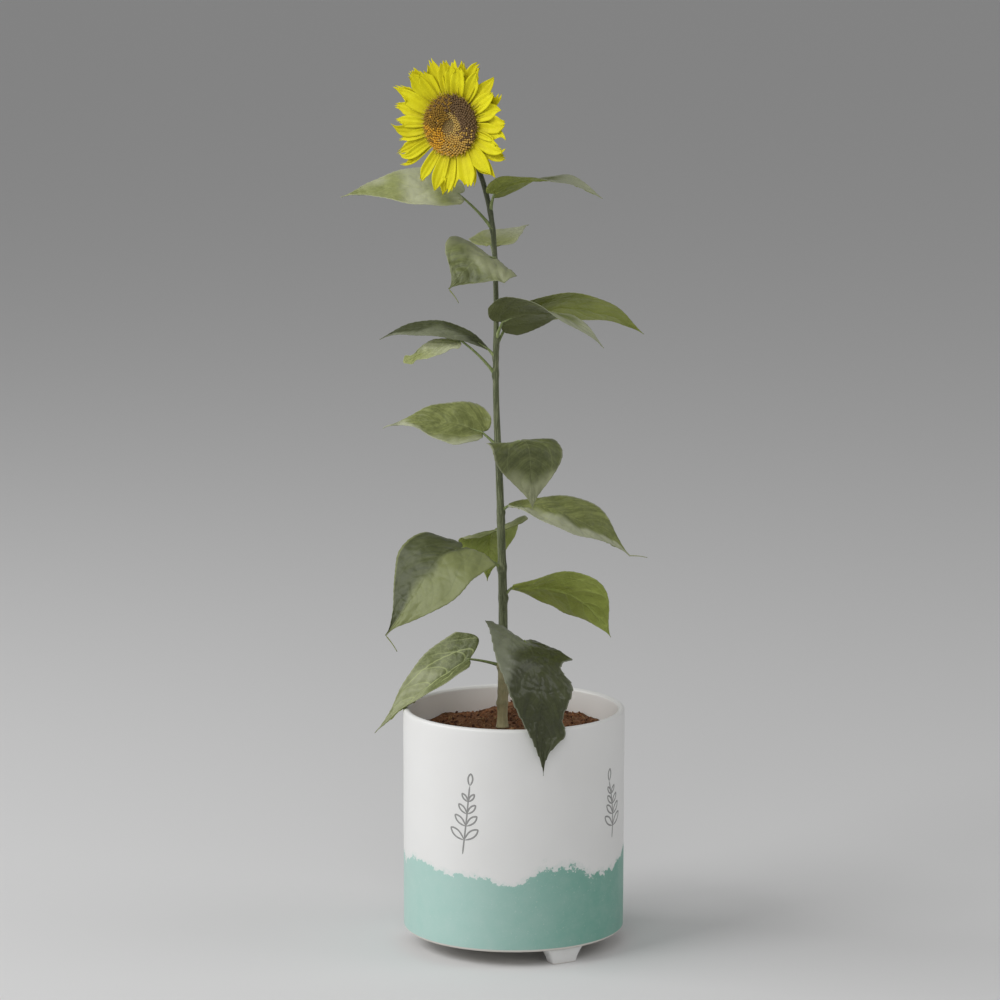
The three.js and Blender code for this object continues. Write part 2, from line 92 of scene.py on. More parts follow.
class Shade:
    """A number, colour or place in a shader. Arithmetic on it adds the nodes that it takes."""

    def __init__(self, socket):
        self.socket = socket

    def into(self, kind, sources, output=0, **settings):
        """Adds a node beside this one, and gives one of its outputs."""
        return Shade(wire(self.socket.id_data, kind, sources, **settings).outputs[output])

    def maths(self, operation, *values):
        return self.into("Math", dict(enumerate(values)), operation=operation)

    def __add__(self, other):
        return self.maths("ADD", self, other)

    def __sub__(self, other):
        return self.maths("SUBTRACT", self, other)

    def __rsub__(self, other):
        return self.maths("SUBTRACT", other, self)

    def __mul__(self, other):
        return self.maths("MULTIPLY", self, other)

    def __pow__(self, other):
        return self.maths("POWER", self, other)

    def __abs__(self):
        return self.maths("ABSOLUTE", self)

    def most(self, other):
        return self.maths("MAXIMUM", self, other)

    def step(self, start, end):
        """0 up to start, 1 from end on, and smooth between."""
        sources = {"Value": self, "From Min": start, "From Max": end}
        return self.into("MapRange", sources, interpolation_type="SMOOTHSTEP")

    def blend(self, first, second):
        """Two colours mixed, with this as the second one's share."""
        return self.into("Mix", {0: self, 6: first, 7: second}, 2, data_type="RGBA")

    def noise(self, scale, detail=3.0, roughness=0.5):
        sources = {"Vector": self, "Scale": scale, "Detail": detail, "Roughness": roughness}
        return self.into("TexNoise", sources)

    def cells(self, scale, **settings):
        return self.into("TexVoronoi", {"Vector": self, "Scale": scale}, "Distance", **settings)

    def axis(self, letter):
        return self.into("SeparateXYZ", {0: self}, letter)


def join(node, sources):
    """Joins each source to the input of its name or number, or sets that input to it."""
    for key, source in sources.items():
        if isinstance(source, Shade):
            node.id_data.links.new(source.socket, node.inputs[key])
        else:
            node.inputs[key].default_value = source


def wire(tree, kind, sources=None, **settings):
    """Adds a node with these settings and inputs."""
    made = tree.nodes.new("ShaderNode" + kind)
    for key, value in settings.items():
        setattr(made, key, value)
    join(made, sources or {})
    return made


def spaced(values):
    """Sockets are called with spaces where a keyword has underscores."""
    return {label.replace("_", " "): value for label, value in values.items()}


def place_in(tree):
    """Where in the room a spot is."""
    return Shade(wire(tree, "TexCoord").outputs["Object"])


def surface_in(tree):
    """How far along and across a blade or petal a spot is."""
    return Shade(wire(tree, "UVMap", uv_map="surface").outputs[0])


def new_finish(name, **values):
    """A material with these values on its own shader."""
    finish = bpy.data.materials.new(name)
    finish.use_nodes = True
    shader = finish.node_tree.nodes["Principled BSDF"]
    join(shader, spaced(values))
    return finish, finish.node_tree, shader


def new_effect(name, outputs, **inputs):
    """A node group: its tree, its inputs by name, and the node that takes its outputs."""
    tree = bpy.data.node_groups.new(name, "ShaderNodeTree")
    sockets = [(label, "INPUT", default) for label, default in spaced(inputs).items()]
    sockets += [(label, "OUTPUT", None) for label in outputs]
    for label, way, default in sockets:
        kind = "Color" if isinstance(default, tuple) or label == "Color" else "Float"
        socket = tree.interface.new_socket(name=label, in_out=way, socket_type="NodeSocket" + kind)
        if default is not None:
            socket.default_value = default
    entry = tree.nodes.new("NodeGroupInput")
    given = {socket.name: Shade(socket) for socket in entry.outputs if socket.name}
    return tree, given, tree.nodes.new("NodeGroupOutput")


def use_effect(tree, effect, **sources):
    """Adds a node group, and gives its outputs by name."""
    made = wire(tree, "Group", node_tree=effect)
    join(made, spaced(sources))
    return {socket.name: Shade(socket) for socket in made.outputs}


def dress(shader, skin, strength, depth):
    """Joins a skin's colour, roughness and relief to a finish's shader."""
    height = skin["Height"]
    bump = height.into("Bump", {"Height": height, "Strength": strength, "Distance": depth})
    join(shader, {"Base Color": skin["Color"], "Roughness": skin["Roughness"], "Normal": bump})


# Fired glaze: a faint ripple from dipping, and pinholes.
glaze_skin, given, exit_ = new_effect("glaze_skin", ("Roughness", "Height"), Evenness=0.3)
where = place_in(glaze_skin)
ripple = where.noise(26, 2)
grit = where.noise(900, 2)
pit = 1 - where.cells(240).step(0.03, 0.09)
worn = ripple * 0.16 + given["Evenness"] + grit * 0.08
raised = ripple * 0.8 + grit * 0.12 + pit * -0.35
join(exit_, {"Roughness": worn, "Height": raised})

BORDER_HEIGHT = 104 * MM
POT_RELIEF = (0.35, 0.0006)
white, tree, shader = new_finish("white_glaze", Coat_Weight=0.25, Coat_Roughness=0.25)
skin = use_effect(tree, glaze_skin, Evenness=0.34)
where = place_in(tree)
height = where.axis("Z")
swell = where.noise(14, 1) - 0.5
dabs = where.noise(95, 3, 0.6) - 0.5
specks = where.noise(420, 3, 0.7) - 0.5
edge = height + swell * 0.055 + dabs * 0.024 + specks * 0.010
sponged = 1 - edge.step(BORDER_HEIGHT - 0.0010, BORDER_HEIGHT + 0.0012)
thin = 1 - edge.step(BORDER_HEIGHT, BORDER_HEIGHT + 0.008)
# Painted light and shade: the mint deepens from the lit left to the shaded right.
side_light = where.axis("X").step(AXIS[0] - 0.08, AXIS[0] + 0.115)
mint = side_light.blend(MINT_LIT_SIDE, MINT_SHADED_SIDE)
mint = (where.noise(60, 4, 0.6) * 0.2).blend(mint, WHITE_GLAZE)
mint = (specks.step(0.12, 0.2) * 0.25).blend(mint, WHITE_GLAZE)
cream = where.noise(18, 2).blend(WHITE_GLAZE, (0.84, 0.84, 0.83, 1))
coloured = sponged.most(thin * 0.16).blend(cream, mint)
wiped = 1 - height.step(0.0208, 0.0216)
skin["Color"] = wiped.blend(coloured, BARE_CLAY)
skin["Roughness"] = sponged * 0.08 + skin["Roughness"] + wiped * 0.35
dress(shader, skin, *POT_RELIEF)


def arc(centre_r, centre_z, radius, start, end, steps):
    turns = np.radians(np.linspace(start, end, steps + 1))
    return [(centre_r + radius * math.cos(t), centre_z + radius * math.sin(t)) for t in turns]


def straight(start, end, steps):
    return [tuple(p) for p in np.linspace(start, end, steps + 1)[1:-1]]


def hoops(starts, sides, turned_over=False):
    """Quads between rings of corners, each ring given by its first corner."""
    quads = [
        (a + k, a + (k + 1) % sides, b + (k + 1) % sides, b + k)
        for a, b in zip(starts, starts[1:])
        for k in range(sides)
    ]
    return [(first, *rest[::-1]) for first, *rest in quads] if turned_over else quads


def fan(middle, start, sides):
    """Triangles from a middle corner to a ring."""
    return [(middle, start + k, start + (k + 1) % sides) for k in range(sides)]


def closed_rings(rows, sides):
    """Faces of rows of rings, closed by two last corners: the middles of the first and last ring."""
    count = rows * sides
    first_end = [face[::-1] for face in fan(count, 0, sides)]
    return hoops(range(0, count, sides), sides) + first_end + fan(count + 1, count - sides, sides)


def lathe(profile, sides, uneven=lambda turn, r, z: r):
    """Turns a profile of (radius, height) about the pot's axis, closed at both ends on it."""
    turns = np.arange(sides) * 2 * math.pi / sides
    inner = profile[1:-1]
    points = [
        (uneven(t, r, z) * math.cos(t), uneven(t, r, z) * math.sin(t), z)
        for r, z in inner
        for t in turns
    ]
    points += [(0, 0, profile[0][1]), (0, 0, profile[-1][1])]
    return points, closed_rings(len(inner), sides)


POT_EDGE = 4
bore = POT_TOP_RADIUS - POT_WALL
lip = POT_WALL / 2
outer_foot = (POT_BASE_RADIUS, POT_BASE + POT_EDGE)
outer_top = (POT_TOP_RADIUS, POT_RIM - lip)
inner_top = (bore, POT_RIM - lip)
inner_foot = (bore, POT_BASE + POT_FLOOR + POT_EDGE)
pot_profile = [
    (0, POT_BASE),
    *straight((0, POT_BASE), (POT_BASE_RADIUS - POT_EDGE, POT_BASE), 6),
    *arc(POT_BASE_RADIUS - POT_EDGE, POT_BASE + POT_EDGE, POT_EDGE, -90, 0, 8),
    *straight(outer_foot, outer_top, 26),
    *arc(POT_TOP_RADIUS - lip, POT_RIM - lip, lip, 0, 180, 14),
    *straight(inner_top, inner_foot, 14),
    *arc(bore - POT_EDGE, POT_BASE + POT_FLOOR + POT_EDGE, POT_EDGE, 0, -90, 4),
    (0, POT_BASE + POT_FLOOR),
]


def slip_cast(turn, r, z):
    """The wall wanders by a few tenths of a millimetre, as a cast and dipped wall does."""
    seen = Vector((math.cos(turn) * 1.5, math.sin(turn) * 1.5, z / 60))
    return r + 0.35 * noise.noise(seen) * min(1, r / 60)


points, faces = lathe(pot_profile, 160, slip_cast)
# The lining is the same white glaze painted brighter, as painted light inside the pot.
painted_light_lining, tree, shader = new_finish("pot_lining", Coat_Weight=0.25, Coat_Roughness=0.25)
skin = use_effect(tree, glaze_skin, Evenness=0.34)
dress(shader, {**skin, "Color": (0.96, 0.95, 0.93, 1)}, *POT_RELIEF)
inside = [math.hypot(x, y) < bore + 0.5 and z > POT_BASE + POT_FLOOR - 1 for x, y, z in points]
lined = [int(all(inside[k] for k in face)) for face in faces]
add_piece("pot_body", points, faces, [white, painted_light_lining], ["pot"], lined)

# ---- The pot's feet ------------------------------------------------------------------------
# Moulded stubs of the same clay, stuck on with slip before firing. Each is wide under the base
# and narrow at the floor, with soft corners, and takes the white glaze only.

FOOT_TOP_WIDTH = 46
FOOT_BOTTOM_WIDTH = 31
FOOT_DEPTH = 26
FOOT_REACH = POT_BASE_RADIUS - 5
FOOT_SIDES = 40
FOOT_SQUARENESS = 0.34
FOOT_LEVELS = [(0.0, 0.955), (0.02, 0.985), (0.07, 1), *[(s, 1) for s in np.linspace(0.15, 1, 9)]]
foot_glaze, tree, shader = new_finish("foot_glaze", Coat_Weight=0.2, Coat_Roughness=0.3)
skin = use_effect(tree, glaze_skin, Evenness=0.38)
where = place_in(tree)
worn = 1 - where.axis("Z").step(0.0004, 0.0016)
coloured = where.noise(40, 2).blend(WHITE_GLAZE, (0.85, 0.85, 0.84, 1))
dress(shader, {**skin, "Color": worn.blend(coloured, BARE_CLAY)}, 0.3, 0.0005)


def foot_ring(share):
    """One level of a foot: a rounded rectangle that widens upwards and flares into the base."""
    flare = share**1.5
    wide = FOOT_BOTTOM_WIDTH + (FOOT_TOP_WIDTH - FOOT_BOTTOM_WIDTH) * flare
    outer = FOOT_REACH - 4 * (1 - flare)
    inner = FOOT_REACH - FOOT_DEPTH + 5 * (1 - flare)
    ring = []
    for k in range(FOOT_SIDES):
        turn = 2 * math.pi * k / FOOT_SIDES
        c, s = (math.copysign(abs(v) ** FOOT_SQUARENESS, v) for v in (math.cos(turn), math.sin(turn)))
        ring.append((wide / 2 * c, -((outer + inner) / 2 + (outer - inner) / 2 * s)))
    return ring


def foot_shape(bearing):
    turn = math.radians(bearing)
    c, s = math.cos(turn), math.sin(turn)
    middle = FOOT_REACH - FOOT_DEPTH / 2
    points = []
    for share, shrink in FOOT_LEVELS:
        for x, y in foot_ring(share):
            x, y = x * shrink, (y + middle) * shrink - middle
            points.append((x * c - y * s, x * s + y * c, share * (POT_BASE - 0.1)))
    starts = range(0, len(points), FOOT_SIDES)[::-1]
    ends = [tuple(range(FOOT_SIDES)), tuple(range(starts[0], len(points)))[::-1]]
    return points, ends + hoops(starts, FOOT_SIDES)


for place, bearing in (("front_right", 30), ("back_right", 140), ("left", -110)):
    points, faces = foot_shape(bearing)
    add_piece(f"foot_{place}", points, faces, [foot_glaze], [f"pot_foot_{place}"])

# ---- The drawn sprigs ----------------------------------------------------------------------
# Plain leafy sprigs drawn on the white glaze with a grey ceramic pencil: a bent stalk with pairs
# of open leaf loops. The line stands just proud of the glaze, and is matt.

pencil, tree, shader = new_finish("grey_pencil_line")
streak = place_in(tree).noise(700, 2)
grey = streak.blend((0.24, 0.24, 0.235, 1), (0.36, 0.36, 0.35, 1))
join(shader, {"Base Color": grey, "Roughness": streak * 0.3 + 0.5})
LINE_WIDTH = 1.9
LINE_PROUD = 0.12
# the line's section: how far across it each corner is, and how far out of the glaze
LINE_SECTION = ((-0.5, 0.06), (-0.3, 1), (0.3, 1), (0.5, 0.06), (0.5, -1.5), (-0.5, -1.5))


def pencil_stroke(path, bearing, points, faces):
    """A line along a path of (distance round the wall, height), with its back sunk in the glaze."""
    path = np.asarray(path)
    ahead = np.gradient(path, axis=0)
    ahead /= np.linalg.norm(ahead, axis=1)[:, None]
    across = np.stack([-ahead[:, 1], ahead[:, 0]], 1)
    first = len(points)
    for i, (spot, side) in enumerate(zip(path, across)):
        taper = min(1, 0.45 + 0.3 * min(i, len(path) - 1 - i))
        for shift, rise in LINE_SECTION:
            u, z = spot + side * shift * LINE_WIDTH * taper
            turn = math.radians(bearing) + u / POT_TOP_RADIUS
            wall = POT_BASE_RADIUS + (z - POT_BASE) / (POT_RIM - POT_BASE) * 0.5
            r = slip_cast(turn - math.pi / 2, wall, z) + 0.02 + LINE_PROUD * rise * taper
            points.append((r * math.sin(turn), -r * math.cos(turn), z))
    starts = range(first, len(points), len(LINE_SECTION))
    faces += hoops(starts, len(LINE_SECTION), turned_over=True)
    faces.append(tuple(range(first, first + len(LINE_SECTION))))
    faces.append(tuple(range(starts[-1], len(points)))[::-1])


def leaf_loop(root, angle, length, width):
    """An open pointed loop drawn from its root and back."""
    loop = []
    for s in np.linspace(0.02, 0.98, 27):
        along = length * (1 - abs(2 * s - 1) ** 1.35)
        side = width / 2 * math.sin(2 * math.pi * s) * (1 - 0.25 * along / length)
        loop.append(
            (
                root[0] + along * math.cos(angle) - side * math.sin(angle),
                root[1] + along * math.sin(angle) + side * math.cos(angle),
            )
        )
    return loop


def sprig(bearing, foot, tall, lean, points, faces):
    stalk = [
        (lean * (z / tall) ** 2 + 2.5 * math.sin(z / tall * 3.2), foot + z)
        for z in np.linspace(0, tall, 40)
    ]
    pencil_stroke(stalk, bearing, points, faces)
    for pair, share in enumerate((0.22, 0.42, 0.6, 0.77)):
        root = stalk[int(share * 39)]
        size = 21 - 3.2 * pair
        for side in (-1, 1):
            angle = math.pi / 2 - side * math.radians(52 - 4 * pair)
            pencil_stroke(leaf_loop(root, angle, size, size * 0.42), bearing, points, faces)
    tip = stalk[-1]
    pencil_stroke(leaf_loop(tip, math.pi / 2 - 0.1, 14, 6.5), bearing, points, faces)


# bearing, height of the foot, length and lean of each sprig
SPRIGS = ((-27, 128, 78, 9), (62, 134, 66, -7), (152, 128, 80, 8), (-118, 132, 70, -8))
points, faces = [], []
for placed in SPRIGS:
    sprig(*placed, points, faces)
add_piece("drawn_sprigs", points, faces, [pencil])

# ---- The potting mix -----------------------------------------------------------------------
# Moist reddish-brown bark and fibre mix, poured in and watered down, so it lies lower than the
# rim, heaped at the back and level round the stem. Loose crumbs and bark chips lie on it.

SOIL_LEVEL = 247
SOIL_WALL_LEVEL = 243
STEM_FOOT = (-13, 0)
soil_edge = bore - 0.9


def soil_height(x, y):
    """The CAD heap's surface, with clods and grains added to it."""
    radius = math.hypot(x, y)
    share = min(1, radius / soil_edge)
    flat = max(0, min(1, (math.hypot(x - STEM_FOOT[0], y - STEM_FOOT[1]) - 8) / 30))
    hill = 14 * math.exp(-(((x - 12) ** 2 + (y - 84) ** 2) / 34**2))
    waves = 2.2 * math.sin(x / 15 + 1) * math.cos(y / 18)
    spot = Vector((x, y, 0))
    clods = 2.6 * noise.fractal(spot / 19, 0.9, 2.1, 4) + 1.1 * abs(noise.noise(spot / 5.5))
    grains = 0.7 * noise.noise(spot / 1.9) + 0.45 * noise.noise(spot / 0.9)
    base = SOIL_LEVEL + (SOIL_WALL_LEVEL - SOIL_LEVEL) * share
    return base + flat * (hill + waves + clods) + (0.3 + 0.7 * flat) * grains


SURFACE = ("Color", "Roughness", "Height")
soil_grain, given, exit_ = new_effect(
    "soil_grain", SURFACE, Dark=(0.05, 0.02, 0.012, 1), Light=(0.26, 0.12, 0.07, 1)
)
where = place_in(soil_grain)
patches = where.noise(70, 4, 0.65)
grains = where.noise(620, 4, 0.7)
cells = wire(soil_grain, "TexVoronoi", {"Vector": where, "Scale": 420.0}).outputs
cell, distance = Shade(cells["Color"]), Shade(cells["Distance"])
earth = (grains * 0.75 + patches * 0.6).step(0.42, 0.92).blend(given["Dark"], given["Light"])
chip = cell.into("SeparateColor", {0: cell}).step(0.8, 0.9)
earth = (chip * 0.5).blend(earth, (0.30, 0.17, 0.10, 1))
join(exit_, {"Color": earth, "Roughness": patches * -0.35 + 1.0, "Height": distance * -0.5 + grains})


def earth_finish(name, dark, light, depth=0.0012):
    finish, tree, shader = new_finish(name, Specular_IOR_Level=0.12)
    dress(shader, use_effect(tree, soil_grain, Dark=dark, Light=light), 0.8, depth)
    return finish


mix_brown = earth_finish("moist_mix", (0.055, 0.024, 0.011, 1), (0.29, 0.135, 0.065, 1))
SOIL_BOTTOM = 225
rings, spokes = 62, 190
points = []
for row in range(rings + 1):
    radius = soil_edge * (row / rings) ** 0.8 if row else 0
    for k in range(spokes if row else 1):
        turn = 2 * math.pi * (k + 0.5 * (row % 2)) / spokes
        x, y = radius * math.cos(turn), radius * math.sin(turn)
        points.append((x, y, soil_height(x, y)))
under = len(points)
points += [(x, y, SOIL_BOTTOM) for x, y, _ in points[-spokes:]]
faces = fan(0, 1, spokes) + hoops(range(1, len(points), spokes), spokes, turned_over=True)
faces += [face[::-1] for face in fan(len(points), under, spokes)]
points.append((0, 0, SOIL_BOTTOM))
add_piece("potting_mix", points, faces, [mix_brown], ["soil"])

# A rough crumb: an icosahedron, squashed and turned afresh for each one.
golden = (1 + 5**0.5) / 2
signs = [(s, t) for s in (-1, 1) for t in (-1, 1)]
CRUMB = np.array(
    [(s, t * golden, 0) for s, t in signs]
    + [(0, s, t * golden) for s, t in signs]
    + [(t * golden, 0, s) for s, t in signs]
) / 1.9


def hull_faces(corners):
    """The outward triangles of a small convex solid."""
    count = len(corners)
    faces = []
    for a in range(count):
        for b in range(a + 1, count):
            for c in range(b + 1, count):
                normal = np.cross(corners[b] - corners[a], corners[c] - corners[a])
                sides = (corners - corners[a]) @ normal
                if sides.max() < 1e-6:
                    faces.append((a, b, c))
                elif sides.min() > -1e-6:
                    faces.append((a, c, b))
    return faces


CRUMB_FACES = hull_faces(CRUMB)


def turned(rng):
    """A random turn, as a matrix."""
    q = np.array([rng.gauss(0, 1) for _ in range(4)])
    w, x, y, z = q / np.linalg.norm(q)
    return np.array(
        [
            (1 - 2 * (y * y + z * z), 2 * (x * y - z * w), 2 * (x * z + y * w)),
            (2 * (x * y + z * w), 1 - 2 * (x * x + z * z), 2 * (y * z - x * w)),
            (2 * (x * z - y * w), 2 * (y * z + x * w), 1 - 2 * (x * x + y * y)),
        ]
    )


def add_solid(points, faces, corners, sides):
    """Adds a small solid to a piece's corners and faces."""
    first = len(points)
    points += np.asarray(corners).tolist()
    faces += [tuple(first + k for k in face) for face in sides]


def scatter_crumbs(name, seed, count, sizes, squash, finish):
    rng = random.Random(seed)
    points, faces = [], []
    for _ in range(count):
        turn = rng.uniform(0, 2 * math.pi)
        radius = (soil_edge - sizes[1] - 1) * math.sqrt(rng.random())
        x, y = radius * math.cos(turn), radius * math.sin(turn)
        if math.hypot(x - STEM_FOOT[0], y - STEM_FOOT[1]) < 9 + sizes[1]:
            continue
        size = sizes[0] + (sizes[1] - sizes[0]) * rng.random() ** 2.5
        stretch = np.array([rng.uniform(*squash), rng.uniform(0.6, 1), rng.uniform(0.5, 1)])
        rough = np.array([rng.uniform(0.75, 1.15) for _ in CRUMB])[:, None]
        lump = (CRUMB * rough * stretch * size) @ turned(rng).T
        add_solid(points, faces, lump + (x, y, soil_height(x, y) + size * 0.22), CRUMB_FACES)
    piece = add_piece(name, points, faces, [finish])
    piece.data.polygons.foreach_set("use_smooth", [False] * len(faces))


dark_crumb = earth_finish("dark_crumb", (0.03, 0.014, 0.009, 1), (0.14, 0.06, 0.036, 1), 0.0006)
red_crumb = earth_finish("red_crumb", (0.12, 0.048, 0.02, 1), (0.36, 0.16, 0.075, 1), 0.0006)
bark_chip = earth_finish("bark_chip", (0.15, 0.078, 0.034, 1), (0.43, 0.26, 0.13, 1), 0.0006)
scatter_crumbs("crumbs_dark", 11, 900, (0.7, 2.9), (0.7, 1), dark_crumb)
scatter_crumbs("crumbs_red", 12, 900, (0.6, 2.6), (0.7, 1), red_crumb)
scatter_crumbs("bark_chips", 13, 170, (1.6, 4.2), (0.2, 0.4), bark_chip)

# ---- The stem ------------------------------------------------------------------------------
# A green, ribbed, bristly stem. Its foot is browner, and painted paler as painted light, and its
# neck is painted darker under the flower, as painted shade. It leans a little to the left, swells
# at each leaf joint, and its neck bends over so that the flower faces forward and left.

STEM_LINE = [
    (-13, 0, 0),
    (-12, 2, 125),
    (-15, 3, 250),
    (-20, 3, 380),
    (-20, 2, 490),
    (-24, 2, 568),
    (-33, 3, 612),
    (-44, 2, 644),
    (-51, -3, 667),
]
FLOWER_CENTRE = np.array([-68, -40, 931.0])
FLOWER_BEARING = -30
NECK_SEAT = 22.1  # from the flower's middle back to the end of the stem
NECK_RUN = 8
STEM_GROUND = SOIL_LEVEL + 0.3
STEM_FOOT_RADIUS = 7.6
STEM_RADIUS = 6
STEM_THIN_RADIUS = 2.9
STEM_THIN_HEIGHT = 470


def heading(bearing, rise, roll=0):
    """Growth direction, side and upper face: bearing 0 is the front and 90 the right."""
    b, e, r = (math.radians(angle) for angle in (bearing, rise, roll))
    ahead = np.array([math.sin(b) * math.cos(e), -math.cos(b) * math.cos(e), math.sin(e)])
    level = np.array([math.cos(b), math.sin(b), 0])
    upright = np.cross(ahead, level)
    side = level * math.cos(r) + upright * math.sin(r)
    return ahead, side, upright * math.cos(r) - level * math.sin(r)


flower_front = heading(FLOWER_BEARING, 0)[0]
stem_knots = np.array(
    [(x, y, STEM_GROUND + z) for x, y, z in STEM_LINE]
    + [
        FLOWER_CENTRE - flower_front * (NECK_SEAT + NECK_RUN),
        FLOWER_CENTRE - flower_front * NECK_SEAT,
    ]
)


def smooth_line(knots, per_span):
    """A centripetal Catmull-Rom line through the knots."""
    ends = [2 * knots[0] - knots[1], *knots, 2 * knots[-1] - knots[-2]]
    line = []
    for p0, p1, p2, p3 in zip(ends, ends[1:], ends[2:], ends[3:]):
        d0, d1, d2 = (np.linalg.norm(b - a) ** 0.5 for a, b in ((p0, p1), (p1, p2), (p2, p3)))
        t1 = ((p1 - p0) / d0 - (p2 - p0) / (d0 + d1) + (p2 - p1) / d1) * d1
        t2 = ((p2 - p1) / d1 - (p3 - p1) / (d1 + d2) + (p3 - p2) / d2) * d1
        for s in np.arange(per_span) / per_span:
            line.append(
                p1
                + t1 * s
                + (3 * (p2 - p1) - 2 * t1 - t2) * s**2
                + (2 * (p1 - p2) + t1 + t2) * s**3
            )
    return np.array([*line, knots[-1]])


stem_line = smooth_line(stem_knots, 60)
stem_run = np.concatenate([[0], np.cumsum(np.linalg.norm(np.diff(stem_line, axis=0), axis=1))])


def stem_at(height):
    """The stem's middle at a height above the soil."""
    z = STEM_GROUND + height
    return np.array([np.interp(z, stem_line[:, 2], stem_line[:, k]) for k in range(3)])


def stem_radius(height):
    thinned = (STEM_THIN_RADIUS - STEM_RADIUS) * min(1, height / STEM_THIN_HEIGHT)
    flare = max(0, 1 - height / 14) ** 2
    return STEM_RADIUS + thinned + flare * (STEM_FOOT_RADIUS - STEM_RADIUS)


# Green rind: long pale streaks on the ribs, and fine down between them. Its tan foot is painted pale, as
# painted light, and its dark crown is painted shade.
green_rind, given, exit_ = new_effect(
    "green_rind", SURFACE, Skin=(0.2, 0.27, 0.1, 1), Streak=(0.36, 0.42, 0.2, 1),
    Blush=(0.2, 0.12, 0.07, 1), Blush_Height=0.3, Blush_Depth=0.06,
    Crown=(0.03, 0.038, 0.015, 1), Crown_Height=2.0,
)
where = place_in(green_rind)
streaks = where.into("Mapping", {"Vector": where, "Scale": (1, 1, 0.06)}).noise(900, 3, 0.6)
mottle = where.noise(130, 4, 0.6)
down = where.noise(1500, 2, 0.7)
up = where.axis("Z")
low = given["Blush Height"]
# The foot's tan is its own browning, painted paler as painted light.
foot_tan_and_light = (1 - up.step(low, low + given["Blush Depth"])) * (mottle * 0.9 + 0.2)
# Painted shade: the neck darkens towards the top, under the flower head.
neck_shade = (up - given["Crown Height"]).step(-0.1, 0.1) * 0.85
rind = streaks.step(0.42, 0.7).blend(given["Skin"], given["Streak"])
rind = foot_tan_and_light.blend(rind, given["Blush"])
rind = neck_shade.blend(rind, given["Crown"])
rind = (mottle.step(0.5, 0.8) * 0.3).blend(rind, given["Streak"])
join(exit_, {"Color": rind, "Roughness": mottle * 0.25 + 0.42, "Height": down * 0.6 + streaks})


def rind_finish(name, skin, streak, blush_height=-1.0, **values):
    finish, tree, shader = new_finish(name, Sheen_Weight=0.2, Sheen_Roughness=0.5)
    rind = use_effect(
        tree, green_rind, Skin=skin, Streak=streak, Blush_Height=blush_height, **values
    )
    dress(shader, rind, 0.5, 0.0004)
    return finish


def tube(line, radii, sides, shape, side_hint=(1, 0, 0), start_ahead=None):
    """A tube along a line with a radius at each point and flat ends; shape scales it round."""
    ahead = np.gradient(line, axis=0)
    ahead /= np.linalg.norm(ahead, axis=1)[:, None]
    if start_ahead is not None:
        ahead[0] = start_ahead
    points = []
    for i, (spot, along) in enumerate(zip(line, ahead)):
        up = np.cross(along, side_hint)
        up /= np.linalg.norm(up)
        side = np.cross(up, along)
        for k in range(sides):
            turn = 2 * math.pi * k / sides
            r = radii[i] * shape(i, turn)
            points.append(tuple(spot + r * (side * math.cos(turn) + up * math.sin(turn))))
    return [*points, tuple(line[0]), tuple(line[-1])], closed_rings(len(line), sides)


# height above the soil and bearing of each leaf joint
JOINTS = {
    "upper_left": (565, -97),
    "upper_right": (583, 30),
    "top_back": (531, -160),
    "top_front": (517, 0),
    "high_right_front": (440, 40),
    "high_right_back": (433, 135),
    "high_left_upper": (421, -90),
    "high_left_lower": (401, -80),
    "middle_left": (320, -100),
    "middle_front": (315, 35),
    "middle_right": (246, 70),
    "low_left": (182, -55),
    "low_back": (185, -170),
    "low_right": (148, 80),
    "bottom_left": (70, -85),
    "bottom_front": (73, 26),
}
BUD_SCARS = [(28, -60), (41, 120), (404, -95), (236, 160)]
stem_stations = np.linspace(0, stem_run[-1], 420)
stem_path = np.stack([np.interp(stem_stations, stem_run, stem_line[:, k]) for k in range(3)], 1)
stem_heights = stem_path[:, 2] - STEM_GROUND


def ribbing(i, turn):
    """Ribs that twist slowly, a swelling under each joint, and old bud scars."""
    height = stem_heights[i]
    ribs = 0.035 * math.cos(9 * turn + height / 70) + 0.015 * math.cos(5 * turn - height / 45)
    lumps = 0.05 * noise.noise(Vector((math.cos(turn), math.sin(turn), height / 22)))
    swell = 0
    for joint, bearing in (*JOINTS.values(), *BUD_SCARS):
        away = (height - joint) / 4.5
        if abs(away) < 3:
            facing = max(0, math.cos(turn - math.radians(bearing - 90)))
            swell += math.exp(-(away**2)) * (0.10 + 0.26 * facing**2)
    return 1 + ribs + lumps + min(swell, 0.42)


# The tan at the foot is painted pale, as painted light; the dark crown is painted shade under the flower.
stem_green = rind_finish(
    "stem_rind", (0.07, 0.086, 0.03, 1), (0.21, 0.228, 0.12, 1), 0.30,
    Blush=(0.56, 0.50, 0.28, 1), Crown_Height=0.80,
)
stem_radii = [stem_radius(h) * 0.97 for h in stem_heights]
points, faces = tube(stem_path, stem_radii, 36, ribbing, start_ahead=(0, 0, 1))
add_piece("stem_ribbed", points, faces, [stem_green], ["stem"])

